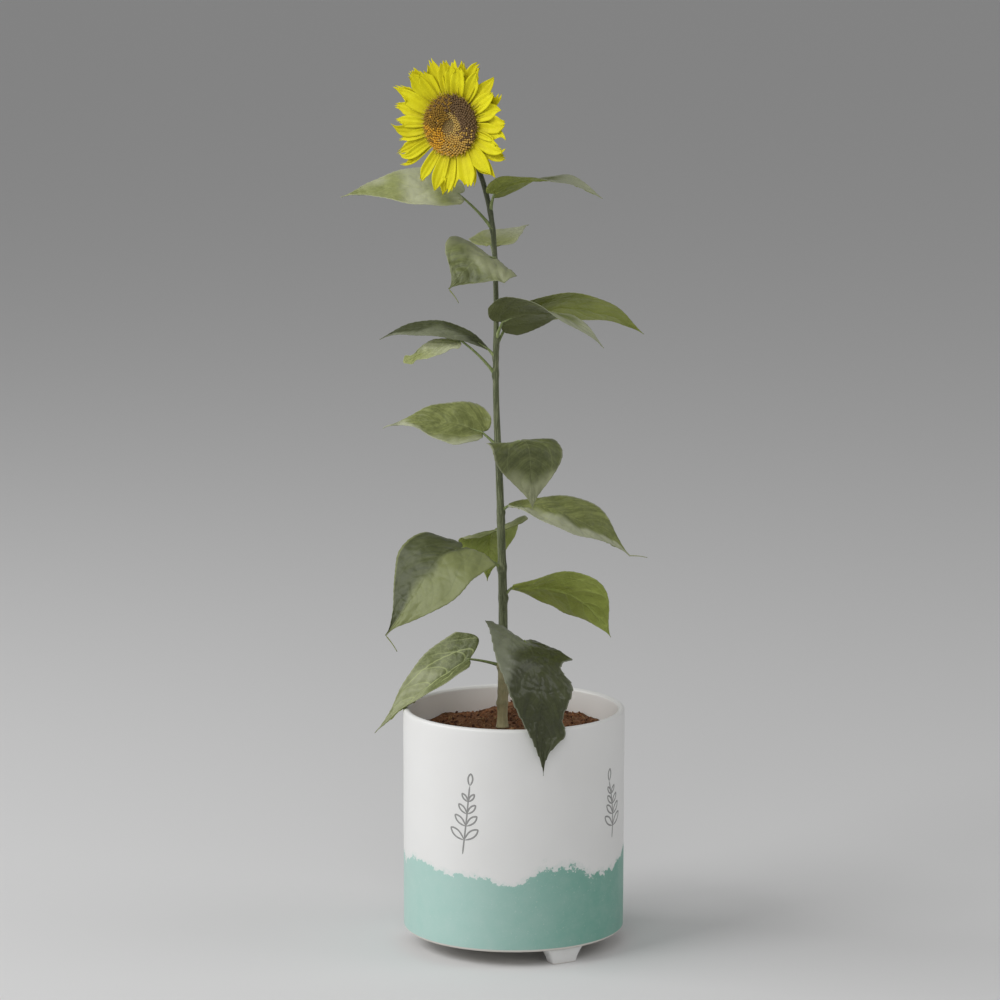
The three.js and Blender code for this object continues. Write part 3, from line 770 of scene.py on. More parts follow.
# Short stiff hairs, each a thin three-sided spike that stands out of the rind and droops a little.
BRISTLES = 3600
BRISTLE_RADIUS = 0.055
SPIKE_FACES = ((0, 1, 3), (1, 2, 3), (2, 0, 3), (2, 1, 0))
hair_white, tree, shader = new_finish("white_bristle")
pale = place_in(tree).noise(300, 1).blend((0.55, 0.57, 0.45, 1), (0.74, 0.75, 0.66, 1))
join(shader, {"Base Color": pale})
rng = random.Random(21)
points, faces = [], []
for _ in range(BRISTLES):
    i = min(len(stem_path) - 2, int(len(stem_path) * rng.random() ** 0.8))
    ahead = stem_path[i + 1] - stem_path[i]
    ahead /= np.linalg.norm(ahead)
    turn = rng.uniform(0, 2 * math.pi)
    up = np.cross(ahead, (1, 0, 0))
    up /= np.linalg.norm(up)
    out = np.cross(up, ahead) * math.cos(turn) + up * math.sin(turn)
    root = stem_path[i] + out * (stem_radius(stem_heights[i]) * 0.95)
    out = out + np.array([rng.gauss(0, 0.25) for _ in range(3)])
    out /= np.linalg.norm(out)
    side = np.cross(out, (0.3, 0.5, 0.81))
    side /= np.linalg.norm(side)
    other = np.cross(out, side)
    tall = rng.uniform(0.5, 1.5)
    thirds = [2 * math.pi * k / 3 for k in range(3)]
    spike = [root + BRISTLE_RADIUS * (side * math.cos(t) + other * math.sin(t)) for t in thirds]
    spike.append(root + out * tall - np.array([0, 0, 0.12 * tall]))
    add_solid(points, faces, spike, SPIKE_FACES)
add_piece("stem_bristles", points, faces, [hair_white])

# ---- The leaves ----------------------------------------------------------------------------
# Heart-shaped to lance-shaped blades, each on its own grooved stalk that runs on as the midrib.
# Three main veins leave the base and side veins arch to the edge. The upper side is dull
# grey-green and quilted between the veins; the underside is yellower, with the veins raised.

LEAF_SHEET = 0.5
SIDE_VEINS = 6
VEIN_SWEEP = 1.7


def vein_pattern(along, across, shift):
    """How near the midrib, a basal vein and a side vein each spot is, from 0 to 1 on it."""
    q = np.abs(across)
    middle = np.clip(1 - q / 0.05, 0, 1)
    basal = np.clip(1 - np.abs(q - 1.08 * along**0.52) / 0.05, 0, 1) * (along < 0.8)
    phase = SIDE_VEINS * along - VEIN_SWEEP * q**1.15 + shift
    away = 0.5 - np.abs(phase % 1 - 0.5)
    return middle, basal, np.clip(1 - away / 0.09, 0, 1), away


# The same veins for colour and fine relief: the surface runs along the blade, and across it from
# edge to edge. The greyer, paler skin in patches and the pale line at the edge are painted sheen
# and painted highlight, where light glances off the blade. Their lean paints one half or the tip
# paler, as painted light, and the wrinkle streaks are painted darker, as painted shade.
leaf_skin, given, exit_ = new_effect(
    "leaf_skin", SURFACE, Lamina=(0.16, 0.21, 0.09, 1), Shade=(0.11, 0.15, 0.07, 1),
    Vein=(0.3, 0.36, 0.16, 1), Bloom=(0.3, 0.32, 0.17, 1), Vein_Strength=0.6, Bloom_Share=0.5,
    Bloom_Side=0.0, Bloom_Tip=0.0, Bloom_Middle=0.5, Shift=0.0,
)
where, uv = place_in(leaf_skin), surface_in(leaf_skin)
along = uv.axis("X")
across = uv.axis("Y") * 2 - 1
aside = abs(across)
q = where.noise(60, 2) * 0.05 - 0.025 + aside
midrib = 1 - aside.step(0.004, along * -0.016 + 0.024)
off = abs(q - along**0.52 * 1.08)
basal = (1 - off.step(0.006, 0.026)) * (1 - along.step(0.5, 0.8))
phase = along * SIDE_VEINS + given["Shift"] + q**1.15 * -VEIN_SWEEP
away = phase.maths("PINGPONG", phase, 0.5)
side = (1 - away.step(0.012, 0.05)) * (1 - q.step(0.65, 1.0))
net = where.cells(170, feature="DISTANCE_TO_EDGE")
fine = where.cells(620, feature="DISTANCE_TO_EDGE")
netted = 1 - net.step(0.0, 0.1)
veins = midrib.most(basal * 0.8).most(side * 0.62).most(netted * 0.2)
blotch = where.noise(26, 4, 0.55)
speckle = where.noise(420, 3, 0.6)
patches = where.noise(85, 3, 0.6)
streaks = phase.into("CombineXYZ", {0: phase * 7, 1: q, 2: blotch}).noise(1.0, 3, 0.65)
lamina = blotch.step(0.3, 0.66).blend(given["Shade"], given["Lamina"])
lamina = (patches.step(0.46, 0.7) * 0.35).blend(lamina, given["Shade"])
lean = (along - given["Bloom Middle"]) * given["Bloom Tip"] + across * given["Bloom Side"]
# Painted sheen: paler, greyer patches where light glances off the blade, leaned to one half or the tip as
# painted light.
glint = where.noise(15, 2, 0.4) * 1.3 + lean + streaks * 0.1 + aside * 0.1
glint = glint.step(0.64, 0.88)
# Painted shade: the wrinkle streaks are darkened, as if in shade.
crease_shade = (streaks.step(0.46, 0.6) - glint).most(0) * 0.75
lamina = crease_shade.blend(lamina, given["Shade"])
# Painted highlight: a pale line along the edge.
edge = aside.step(0.93, 0.985) * 0.9
lamina = (glint.most(edge) * given["Bloom Share"]).blend(lamina, given["Bloom"])
lamina = (speckle.step(0.45, 0.75) * 0.16).blend(lamina, given["Vein"])
coloured = (veins * given["Vein Strength"]).blend(lamina, given["Vein"])
raised = veins + fine * -0.3 + net * -0.9 + streaks * 1.1
join(exit_, {"Color": coloured, "Roughness": veins * 0.1 + 0.40 + blotch * 0.2, "Height": raised})


def leaf_finish(name, lamina, shade, glint, vein, strength, relief, coat, shift, lean):
    """One side of a blade. relief is negative on the upper side, where the veins are sunken."""
    finish, tree, shader = new_finish(
        name, Sheen_Weight=0.05, Sheen_Roughness=0.4, Sheen_Tint=(0.9, 0.95, 0.85, 1),
        Coat_Weight=coat, Coat_Roughness=0.2, Specular_IOR_Level=0.4,
    )
    skin = use_effect(
        tree, leaf_skin, Lamina=(*lamina, 1), Shade=(*shade, 1), Vein=(*vein, 1),
        Bloom=(*glint[:3], 1), Bloom_Share=glint[3], Bloom_Side=lean[0], Bloom_Tip=lean[1],
        Bloom_Middle=lean[2], Vein_Strength=strength, Shift=shift,
    )
    dress(shader, skin, relief, 0.001)
    return finish


def ease(share, start, end):
    x = np.clip((share - start) / (end - start), 0, 1)
    return x if (start, end) == (0, 1) else x * x * (3 - 2 * x)


def growth_walk(start, length, bearing, rise, roll, steps, bend=(0, 1)):
    """Steps along a growing piece that turns evenly from its first heading to its last."""

    def at(share):
        return heading(
            bearing[0] + (bearing[1] - bearing[0]) * share,
            rise[0] + (rise[1] - rise[0]) * float(ease(share, *bend)),
            roll[0] + (roll[1] - roll[0]) * share,
        )

    point = np.array(start, float)
    walk = []
    for i in range(steps + 1):
        walk.append((i / steps, point.copy(), *at(i / steps)))
        point += at((i + 0.5) / steps)[0] * length / steps
    return walk


def outline_share(share, shoulder, wide):
    """The half width's share along the blade: a rounded base and a drawn-out tip."""
    if share < wide:
        return shoulder + (1 - shoulder) * math.sin(math.pi / 2 * share / wide)
    past = (share - wide) / (1 - wide)
    return ((1 + math.cos(math.pi * past)) / 2) ** 0.85


def blade_shape(
    start, blade, seed, bend=(0, 1), fold=(4, 4), lobe=0.06, shoulder=0.62, wide=0.25, wave=1.6,
    teeth=(7.5, 0.7), tail=None, notches=(),
):
    """The blade's grid of middle points, its unit normals and its (along, across) coordinates."""
    rng = random.Random(seed)
    steps = max(44, round(blade["length"] / 1.5))
    columns = 49
    half_columns = columns // 2
    spread = [
        math.copysign(abs(k / half_columns) ** 1.25, k)
        for k in range(-half_columns, half_columns + 1)
    ]
    walk = growth_walk(
        start, blade["length"], blade["bearing"], blade["rise"], blade["roll"], steps, bend
    )
    tail_steps = 0
    if tail:
        tail_steps = 10
        end = walk[-1]
        length, bearing, rise = tail
        last_roll = blade["roll"][1]
        extra = growth_walk(
            end[1], length, (bearing, bearing), (rise, rise - 15), (last_roll, last_roll), tail_steps
        )
        walk += [(1 + share * 0.001, *rest) for share, *rest in extra[1:]]
    phases = [rng.uniform(0, 2 * math.pi) for _ in range(6)]
    lobes = lobe if isinstance(lobe, tuple) else (lobe, lobe)
    grid, places = [], []
    for row, (share, point, ahead, side, up) in enumerate(walk):
        past_tip = max(0, row - steps) / max(1, tail_steps)
        line = []
        for a in spread:
            which = 0 if a > 0 else 1
            body = blade["half"][which] * outline_share(min(share, 1), shoulder, wide)
            if share < 0.97:
                saw = (share * blade["length"] / teeth[0] + (0.37 if which else 0)) % 1
                body += teeth[1] * (saw**1.4 - 0.4) * min(1, (1 - share) * 6) * min(1, 0.3 + share * 5)
            for n_side, n_at, n_width, n_depth in notches:
                if n_side == which:
                    body += n_depth * math.exp(-(((share - n_at) / n_width) ** 2))
            thin = 0.9 * (1 - past_tip) + 0.18 * past_tip if tail else 0.22
            body = max(body, thin)
            out = abs(a) * body
            back = lobes[which] * blade["length"] * math.sin(math.pi * abs(a) ** 0.8)
            angle = math.radians(fold[which])
            swing = wave * a * a * min(1, body / 12)
            ripple = math.sin(2 * math.pi * 1.35 * share + phases[which])
            ripple += 0.5 * math.sin(2 * math.pi * 3.1 * share + phases[2 + which])
            lift = out * math.sin(angle) + swing * ripple
            line.append(
                point
                - ahead * back * max(0, 1 - share) ** 2.5
                + side * math.copysign(out * math.cos(angle), a)
                + up * lift
            )
            places.append((min(share, 1), a))
        grid.append(line)
    grid = np.array(grid)
    ups = np.array([up for *_, up in walk])[:, None, :]
    normals = np.cross(np.gradient(grid, axis=0), np.gradient(grid, axis=1))
    sizes = np.linalg.norm(normals, axis=2, keepdims=True)
    normals = np.where(sizes > 1e-5, normals / np.maximum(sizes, 1e-9), ups)
    normals = np.where((normals * ups).sum(2, keepdims=True) < 0, -normals, normals)
    return grid, normals, np.array(places).reshape(len(walk), columns, 2), walk


def quilting(grid, places, shift, depth, seed):
    """The upper side's relief: pillows between the side veins, sunken veins and fine crinkles."""
    along, across = places[..., 0], places[..., 1]

    def rough(size, start=(0, 0, 0)):
        heights = [noise.noise(Vector(p) / size + Vector(start)) for p in grid.reshape(-1, 3)]
        return np.array(heights).reshape(along.shape)

    middle, basal, side, away = vein_pattern(along, across, shift)
    inside = np.clip((1 - np.abs(across)) * 5, 0, 1) * np.clip((1 - along) * 8, 0, 1)
    pillows = (away * 2) ** 0.7 - 0.5
    crinkle = rough(7.5, (seed, 0, 0)) + 0.5 * rough(3.1)
    crease = np.clip(1 - 7 * np.abs(rough(15, (0, 0, seed))), 0, 1)
    relief = 0.9 * pillows + 0.8 * crinkle + 2.8 * rough(21, (0, seed, 0)) - 0.8 * crease
    sunken = np.maximum(middle, np.maximum(0.7 * basal, 0.5 * side))
    return depth * relief * inside - 0.45 * sunken * inside


def sheet_faces(rows, columns):
    """A thin sheet whose upper corners come first: the faces of its top and edges, and beneath."""
    count, last = rows * columns, (rows - 1) * columns
    top, under = [], []
    for a in range(0, last, columns):
        b = a + columns
        for k in range(columns - 1):
            top.append((a + k, b + k, b + k + 1, a + k + 1))
            under.append((count + a + k, count + a + k + 1, count + b + k + 1, count + b + k))
        top.append((a, count + a, count + b, b))
        a, b = a + columns - 1, b + columns - 1
        top.append((a, b, count + b, count + a))
    for k in range(columns - 1):
        top.append((k, k + 1, count + k + 1, count + k))
        top.append((last + k, count + last + k, count + last + k + 1, last + k + 1))
    return top, under


def skin_tone(skin, patches, glint, glint_share, vein_lift=1.3):
    """A blade side's colours: skin, deeper patches, a painted sheen with the share it covers, and veins."""
    return skin, patches, (*glint, glint_share), tuple(0.04 + vein_lift * c for c in skin)


# The tones are partly painted light and shade, each made lighter or darker for the light on the blades that
# wear it. This palest one is young, and painted lighter as painted light.
YOUNG_AND_LIT = skin_tone((0.37, 0.40, 0.155), (0.25, 0.28, 0.09), (0.50, 0.515, 0.36), 0.8)
LIGHT = skin_tone((0.27, 0.30, 0.095), (0.13, 0.15, 0.042), (0.41, 0.425, 0.30), 0.85)
FRESH = skin_tone((0.18, 0.207, 0.06), (0.095, 0.113, 0.028), (0.31, 0.325, 0.185), 0.7)
VEINED = (
    *skin_tone((0.165, 0.19, 0.058), (0.10, 0.12, 0.032), (0.34, 0.36, 0.205), 0.75)[:3],
    (0.46, 0.52, 0.22),
)
# Painted light and shade: a dark skin for the shaded half of a blade, with a pale cover for its lit half.
HALF_SHADED = skin_tone((0.078, 0.091, 0.028), (0.050, 0.060, 0.018), (0.212, 0.236, 0.088), 0.9)
# Painted sheen: the fresh skin with paler patches where light glances off it.
GLINT_TIPPED = skin_tone((0.18, 0.207, 0.06), (0.095, 0.113, 0.028), (0.38, 0.395, 0.29), 0.75)
DULL = skin_tone((0.165, 0.188, 0.062), (0.068, 0.08, 0.024), (0.31, 0.325, 0.195), 0.75)
# Painted shade: the darkest upper skin, for a blade in shade.
SHADED_SKIN = skin_tone((0.085, 0.098, 0.036), (0.045, 0.053, 0.018), (0.34, 0.36, 0.25), 0.45)
OLD = skin_tone((0.056, 0.066, 0.018), (0.034, 0.04, 0.009), (0.225, 0.242, 0.165), 0.85)
YELLOW_UNDER = skin_tone((0.27, 0.31, 0.055), (0.20, 0.235, 0.038), (0.33, 0.36, 0.10), 0.3, 1.2)
# Painted light: a lime underside made brighter, as if lit through the blade.
LIT_LIME_UNDER = skin_tone((0.36, 0.43, 0.085), (0.255, 0.31, 0.055), (0.41, 0.48, 0.13), 0.3, 1.2)
# Painted shade: an olive underside made darker, for an underside in shade.
SHADED_UNDER = skin_tone((0.10, 0.115, 0.03), (0.07, 0.08, 0.02), (0.14, 0.16, 0.05), 0.3, 1.2)
OLD_UNDER = skin_tone((0.12, 0.15, 0.04), (0.09, 0.11, 0.03), (0.17, 0.20, 0.08), 0.3, 1.2)
stalk_green = rind_finish("stalk_rind", (0.16, 0.21, 0.06, 1), (0.31, 0.36, 0.15, 1))


# The lean shifts a blade's pale sheen across it (first) and along it (second) about its middle: it paints
# one half, the tip or the base paler, as painted light, and leaves the rest darker, as painted shade.
def grow_leaf(
    place, stalk, blade, above, below=YELLOW_UNDER, *, seed, depth=0.7, veins=0.34, gloss=0.0,
    glint_lean=(0, 0), glint_middle=0.5, **outline,
):
    """A stalk from its joint on the stem, and the blade at its end, each its own piece."""
    shift = seed * 0.37 % 1
    lean = (*glint_lean, glint_middle)
    finishes = [
        leaf_finish(f"{place}_upper", *above, veins, -0.45, gloss, shift, lean),
        leaf_finish(f"{place}_under", *below, 0.5, 0.6, 0.0, shift, (0, 0, 0.5)),
    ]
    joint = stem_at(JOINTS[place][0])
    stalk_walk = growth_walk(joint, stalk["length"], stalk["bearing"], stalk["rise"], (0, 0), 26)
    grid, normals, places, walk = blade_shape(stalk_walk[-1][1], blade, seed, **outline)
    along, across = places[..., 0], places[..., 1]
    relief = quilting(grid, places, shift, depth, seed)
    widths = np.linalg.norm(grid - grid[:, grid.shape[1] // 2][:, None], axis=2)
    rib = 1.25 * (1 - 0.86 * along) + 0.1
    ribbed = np.sqrt(np.clip(rib**2 - widths**2, 0, None))
    _, basal, side, _ = vein_pattern(along, across, shift)
    raised = 0.55 * basal * (1 - along) + 0.28 * side * np.clip(1.15 - np.abs(across), 0, 1)
    under_relief = np.maximum(ribbed, raised)
    upper = grid + normals * (LEAF_SHEET / 2 + relief)[..., None]
    lower = grid - normals * (LEAF_SHEET / 2 - relief + under_relief)[..., None]
    points = np.concatenate([upper.reshape(-1, 3), lower.reshape(-1, 3)])
    uv = np.stack([along.ravel(), 0.5 + across.ravel() / 2], 1)
    top, under = sheet_faces(*along.shape)
    add_piece(
        f"blade_{place}", points, top + under, finishes, [f"leaf_{place}"],
        [0] * len(top) + [1] * len(under), np.tile(uv, (2, 1)),
    )

    # The stalk flares where it clasps the stem, is grooved on top, and runs on under the blade.
    line = [spot for _, spot, *_ in stalk_walk]
    steps_on = max(3, len(walk) // 9)
    line += [walk[i][1] - walk[i][4] * min(0.9, 0.3 * i) for i in range(1, steps_on + 1)]
    line = np.array(line)
    run = np.concatenate([[0], np.cumsum(np.linalg.norm(np.diff(line, axis=0), axis=1))])
    share = np.clip(run / stalk["length"], 0, 1)
    radii = 2.0 + (1.25 - 2.0) * share + 1.3 * np.exp(-run / 5.5)
    beyond = np.clip((run - stalk["length"]) / max(1e-6, run[-1] - stalk["length"]), 0, 1)
    radii = radii * (1 - 0.75 * beyond)

    def grooved(i, turn):
        return 1 - 0.2 * max(0, math.sin(turn)) ** 6 + 0.03 * math.cos(5 * turn)

    hint = tuple(stalk_walk[0][3])
    points, faces = tube(line, radii, 14, grooved, side_hint=hint)
    add_piece(f"stalk_{place}_grooved", points, faces, [stalk_green], [f"stalk_{place}"])


# The top pair and the two small leaves below it.
grow_leaf(
    "upper_left",
    dict(length=54, bearing=(-97, -97), rise=(52, 38)),
    dict(length=133, half=(38, 37), bearing=(-82, -87), rise=(16, -18), roll=(-31, -32)),
    YOUNG_AND_LIT, fold=(6, 3), lobe=0.05, wave=1.4, seed=31,
)
# Its tip is painted paler, as painted sheen.
grow_leaf(
    "upper_right",
    dict(length=25, bearing=(30, 50), rise=(80, 60)),
    dict(length=131, half=(34, 23), bearing=(73, 70), rise=(30, -33), roll=(-34, 31)),
    GLINT_TIPPED, wide=0.27, fold=(10, 6), shoulder=0.65, seed=32, glint_lean=(0, 0.8),
)
grow_leaf(
    "top_back",
    dict(length=20, bearing=(-160, -160), rise=(60, 40)),
    dict(length=75, half=(41, 24), bearing=(145, 144), rise=(20, 4), roll=(-3, -6)),
    YOUNG_AND_LIT, wide=0.22, lobe=0.06, fold=(2, -3), shoulder=0.52, seed=33,
)
# Its base is painted paler and its tip darker, as painted light and shade.
grow_leaf(
    "top_front",
    dict(length=33, bearing=(0, 0), rise=(40, 30)),
    dict(length=73, half=(47, 51), bearing=(-46, -82), rise=(19, -48), roll=(-25, -60)),
    DULL, lobe=0.04, fold=(3, -12), bend=(0, 0.6), shoulder=0.94, tail=(19, 75, -45), depth=1.0,
    seed=34, glint_lean=(0, -0.9),
)

# The four leaves of the next whorl.
# Its tip is painted paler, as painted sheen, and its olive underside is painted shade.
grow_leaf(
    "high_right_front",
    dict(length=24, bearing=(40, 50), rise=(70, 60)),
    dict(length=137, half=(36, 36), bearing=(62, 66), rise=(30, -50), roll=(-50, 25)),
    GLINT_TIPPED, SHADED_UNDER, shoulder=0.7, seed=35, glint_lean=(0, 0.7),
)
grow_leaf(
    "high_right_back",
    dict(length=35, bearing=(135, 130), rise=(60, 40)),
    dict(length=158, half=(38, 38), bearing=(95, 92), rise=(26, -38), roll=(-28, -32)),
    FRESH, lobe=0.02, shoulder=0.5, wide=0.5, seed=36,
)
# Its skin is painted shade, with one half painted a little paler, as painted light.
grow_leaf(
    "high_left_upper",
    dict(length=13, bearing=(-90, -90), rise=(50, 45)),
    dict(length=129, half=(20, 14), bearing=(-90, -89), rise=(40, -30), roll=(-24, -29)),
    SHADED_SKIN, fold=(1, 3), lobe=0, shoulder=0.1, wide=0.47, wave=1.0, seed=37, glint_lean=(0.25, 0),
)
# Its pale skin is painted light.
grow_leaf(
    "high_left_lower",
    dict(length=57, bearing=(-80, -85), rise=(55, 35)),
    dict(length=68, half=(15, 12), bearing=(-83, -78), rise=(-14, -28), roll=(-33, -46)),
    YOUNG_AND_LIT, fold=(11, 4), lobe=0, shoulder=0.14, wide=0.41, wave=1.0, seed=38,
    notches=((0, 0.9, 0.07, 6), (1, 0.92, 0.07, 7), (0, 0.06, 0.09, 9)),
)

# The middle leaves.
# One half and the tip are painted a little paler, as painted light.
grow_leaf(
    "middle_left",
    dict(length=25, bearing=(-100, -100), rise=(45, 38)),
    dict(length=110, half=(38, 37), bearing=(-107, -98), rise=(19, -16), roll=(-28, -31)),
    LIGHT, shoulder=0.65, lobe=0.05, fold=(4, 10), wide=0.18, depth=0.9, tail=(6, -92, -20), seed=39,
    glint_lean=(0.2, 0.3),
)
# Its tip is painted paler and its base darker, as painted light and shade.
grow_leaf(
    "middle_front",
    dict(length=44, bearing=(35, 35), rise=(28, 18)),
    dict(length=92, half=(42, 46), bearing=(34, 11), rise=(10, -82), roll=(0, 6)),
    DULL, fold=(-3, 1), bend=(0, 0.4), shoulder=0.95, depth=0.8, seed=40, glint_lean=(0, 0.8),
)
# One half is painted paler and the other darker, as painted light and shade.
grow_leaf(
    "middle_right",
    dict(length=12, bearing=(70, 80), rise=(50, 30)),
    dict(length=152, half=(36, 32), bearing=(77, 84), rise=(4, -46), roll=(20, 31)),
    LIGHT, fold=(2, 7), lobe=0, shoulder=0.1, wide=0.51, tail=(20, 88, 2), depth=1.1, seed=41,
    glint_lean=(-0.6, 0),
)

# The broad lower leaves.
# Its lower half is painted pale, as painted light, and its upper half dark, as painted shade.
grow_leaf(
    "low_left",
    dict(length=62, bearing=(-55, -55), rise=(35, 20)),
    dict(length=139, half=(55, 51), bearing=(-45, -89), rise=(0, -54), roll=(-12, -48)),
    HALF_SHADED, lobe=0.08, fold=(0, -1), bend=(0, 0.4), shoulder=1, wide=0.32, tail=(22, 75, -45), depth=0.9,
    seed=42, glint_lean=(0.9, 0),
)
# Its lime underside is painted light.
grow_leaf(
    "low_back",
    dict(length=48, bearing=(-170, -170), rise=(60, 30)),
    dict(length=80, half=(43, 43), bearing=(-158, -158), rise=(10, -80), roll=(-16, -16)),
    FRESH, LIT_LIME_UNDER, bend=(0, 0.4), shoulder=0.9, seed=43,
)
# Its lime underside is painted light.
grow_leaf(
    "low_right",
    dict(length=16, bearing=(80, 85), rise=(60, 40)),
    dict(length=137, half=(42, 43), bearing=(99, 97), rise=(-2, -60), roll=(-33, -52)),
    FRESH, LIT_LIME_UNDER, fold=(6, 3), bend=(0.1, 1), lobe=0, shoulder=0.15, wide=0.52, seed=44,
)

# The oldest pair, which hang over the pot's rim.
# Its tip is painted paler, as painted sheen.
grow_leaf(
    "bottom_left",
    dict(length=40, bearing=(-85, -90), rise=(20, 5)),
    dict(length=137, half=(41, 39), bearing=(-95, -87), rise=(-32, -46), roll=(-53, -41)),
    VEINED, wide=0.15, fold=(46, 3), lobe=(0.02, 0.15), shoulder=0.96, depth=0.9, seed=45, veins=0.9,
    glint_lean=(-0.1, 0.8),
)
# A painted highlight on its upper left and base, where the gloss catches the light.
grow_leaf(
    "bottom_front",
    dict(length=66, bearing=(26, 26), rise=(42, 25)),
    dict(length=182, half=(49, 53), bearing=(15, 10), rise=(-7, -82), roll=(-23, -7)),
    OLD, OLD_UNDER, lobe=0.09, fold=(3, 6), bend=(0, 0.7), shoulder=1.0, wide=0.26, depth=1.2, wave=2.2,
    teeth=(11, 1.6), seed=46,
    notches=((0, 0.2, 0.03, 5), (0, 0.31, 0.1, -19), (0, 0.76, 0.07, 13)), gloss=0.35,
    glint_lean=(-1.0, -2.5), glint_middle=0.1,
)

# ---- The flower's disc ---------------------------------------------------------------------
# A low dome packed with tube-shaped florets in spirals. The outer rings are open, dark and fluffy,
# a paler olive ring of buds lies inside them, and the middle is a dark hollow.

DISC_RADIUS = 34
GOLDEN_ANGLE = math.pi * (3 - 5**0.5)
turn = math.radians(FLOWER_BEARING)
FLOWER_TURN = np.array(
    [
        (math.cos(turn), 0, math.sin(turn)),
        (math.sin(turn), 0, -math.cos(turn)),
        (0, 1, 0),
    ]
)


def on_flower(points):
    """From the flower's own frame, which faces +Z with +Y upwards, to its place on the neck."""
    return np.asarray(points) @ FLOWER_TURN.T + FLOWER_CENTRE


def dome_height(share):
    rim = 1 - min(1, max(0, (share - 0.86) / 0.14)) ** 2
    swell = 2.6 * math.exp(-(((share - 0.66) / 0.26) ** 2))
    hollow = 0.8 * math.exp(-((share / 0.22) ** 2))
    return (2.6 + swell - hollow) * rim


def plush(name, dark, light):
    """The dull, fluffy skin of a floret, painted darker in the hollows of its fluff, as painted shade."""
    finish, tree, shader = new_finish(
        name, Sheen_Weight=0.1, Sheen_Roughness=0.5, Specular_IOR_Level=0.2
    )
    fluff = place_in(tree).noise(900, 3, 0.7)
    # Painted shade: the hollows of the fluff take the darker colour.
    colour = fluff.step(0.35, 0.7).blend((*dark, 1), (*light, 1))
    dress(shader, {"Color": colour, "Roughness": fluff * 0.3 + 0.6, "Height": fluff}, 0.5, 0.0003)
    return finish


disc_profile = [(0, -6), *[(r, -6) for r in (8, 16, 24, 31)], (33.4, -4), (33.8, -2), (33.6, 0)]
disc_profile += [(33.2 * s, dome_height(s) - 0.4) for s in np.linspace(0.99, 0.03, 26)]
disc_profile.append((0, dome_height(0) - 0.4))
points, faces = lathe(disc_profile, 72)
disc_bed = plush("disc_bed", (0.22, 0.13, 0.05), (0.38, 0.23, 0.09))
add_piece("disc_bed", on_flower(points), faces, [disc_bed], ["flower_disc"])


def ring_solid(rings, sides=5, pinch=1.0):
    """A small upright solid of rings (radius, height); pinch makes its last ring a star."""
    points = []
    for row, (radius, height) in enumerate(rings):
        for k in range(sides):
            r = radius * (pinch if row == len(rings) - 1 and k % 2 else 1)
            turn = 2 * math.pi * k / sides
            points.append((r * math.cos(turn), r * math.sin(turn), height))
    starts = range(0, len(points), sides)
    ends = [tuple(range(sides))[::-1], tuple(range(starts[-1], len(points)))]
    return np.array(points), hoops(starts, sides) + ends


def joined(*solids):
    points, faces = [], []
    for corners, sides in solids:
        add_solid(points, faces, corners, sides)
    return np.array(points), faces


OPEN_FLORET = joined(
    ring_solid([(0.8, 0), (0.9, 1.8), (1.15, 2.8), (1.25, 3.2)], sides=10, pinch=0.6),
    ring_solid([(0.4, 2.6), (0.45, 4.0), (0.2, 4.6)]),
)
BUD_FLORET = ring_solid([(0.9, 0), (0.98, 1.4), (0.7, 2.2), (0.15, 2.8)])
TIGHT_FLORET = ring_solid([(0.75, 0), (0.8, 0.9), (0.2, 1.6)])
corners, sides = ring_solid([(0.11, 4.4), (0.11, 5.0), (0.03, 5.5)], sides=3)
CURLED_STYLE = joined((corners - (0.2, 0, 0), sides), (corners + (0.2, 0, 0), sides))


def set_in_dome(name, solid, spots, rng, finish, sizes=(0.9, 1.12), lean=0.9):
    """Copies of a small solid stood on the dome as one piece, leaning out towards its edge."""
    shape, sides = solid
    points, faces = [], []
    for radius, turn in spots:
        share = radius / DISC_RADIUS
        tilt = lean * max(0, share - 0.45) + rng.gauss(0, 0.1)
        spin = rng.uniform(0, 2 * math.pi)
        size = rng.uniform(*sizes)
        out = np.array([math.cos(turn), math.sin(turn), 0])
        axis = out * math.sin(tilt) + np.array([0, 0, math.cos(tilt)])
        first_side = np.cross((-math.sin(turn), math.cos(turn), 0), axis)
        second_side = np.cross(axis, first_side)
        u = first_side * math.cos(spin) + second_side * math.sin(spin)
        v = np.cross(axis, u)
        root = out * radius + np.array([0, 0, dome_height(share) - 0.6])
        add_solid(points, faces, root + size * (shape @ np.stack([u, v, axis])), sides)
    add_piece(name, on_flower(points), faces, [finish])


FLORETS = 560
# Each kind's first colour is painted shade for the hollows of its fluff, and the second is its own colour.
FLORET_COLOURS = {
    "eye": ((0.25, 0.21, 0.06), (0.48, 0.41, 0.13)),
    "gold": ((0.60, 0.43, 0.12), (0.95, 0.73, 0.24)),
    "orange": ((0.66, 0.34, 0.025), (0.95, 0.58, 0.055)),
    "tan": ((0.52, 0.33, 0.07), (0.86, 0.57, 0.14)),
    "brown": ((0.28, 0.155, 0.02), (0.52, 0.31, 0.04)),
    "wine": ((0.155, 0.092, 0.042), (0.31, 0.195, 0.092)),
}


def floret_kind(share, turn, rng):
    """Its colour: a dark eye off the middle, a gold ring, and outside it four bands round the disc."""
    bearing = (math.degrees(turn) + rng.gauss(0, 19)) % 360
    aside, above = share * math.cos(turn) + 0.07, share * math.sin(turn) + 0.04
    if math.hypot(aside / 0.2, above / 0.24) < rng.gauss(1, 0.08):
        return "eye"
    if share < 0.40 + rng.gauss(0, 0.05) and not 115 < bearing < 200:
        return "gold"
    for start, kind in ((332, "wine"), (250, "tan"), (192, "orange"), (105, "brown"), (0, "wine")):
        if bearing >= start:
            return kind


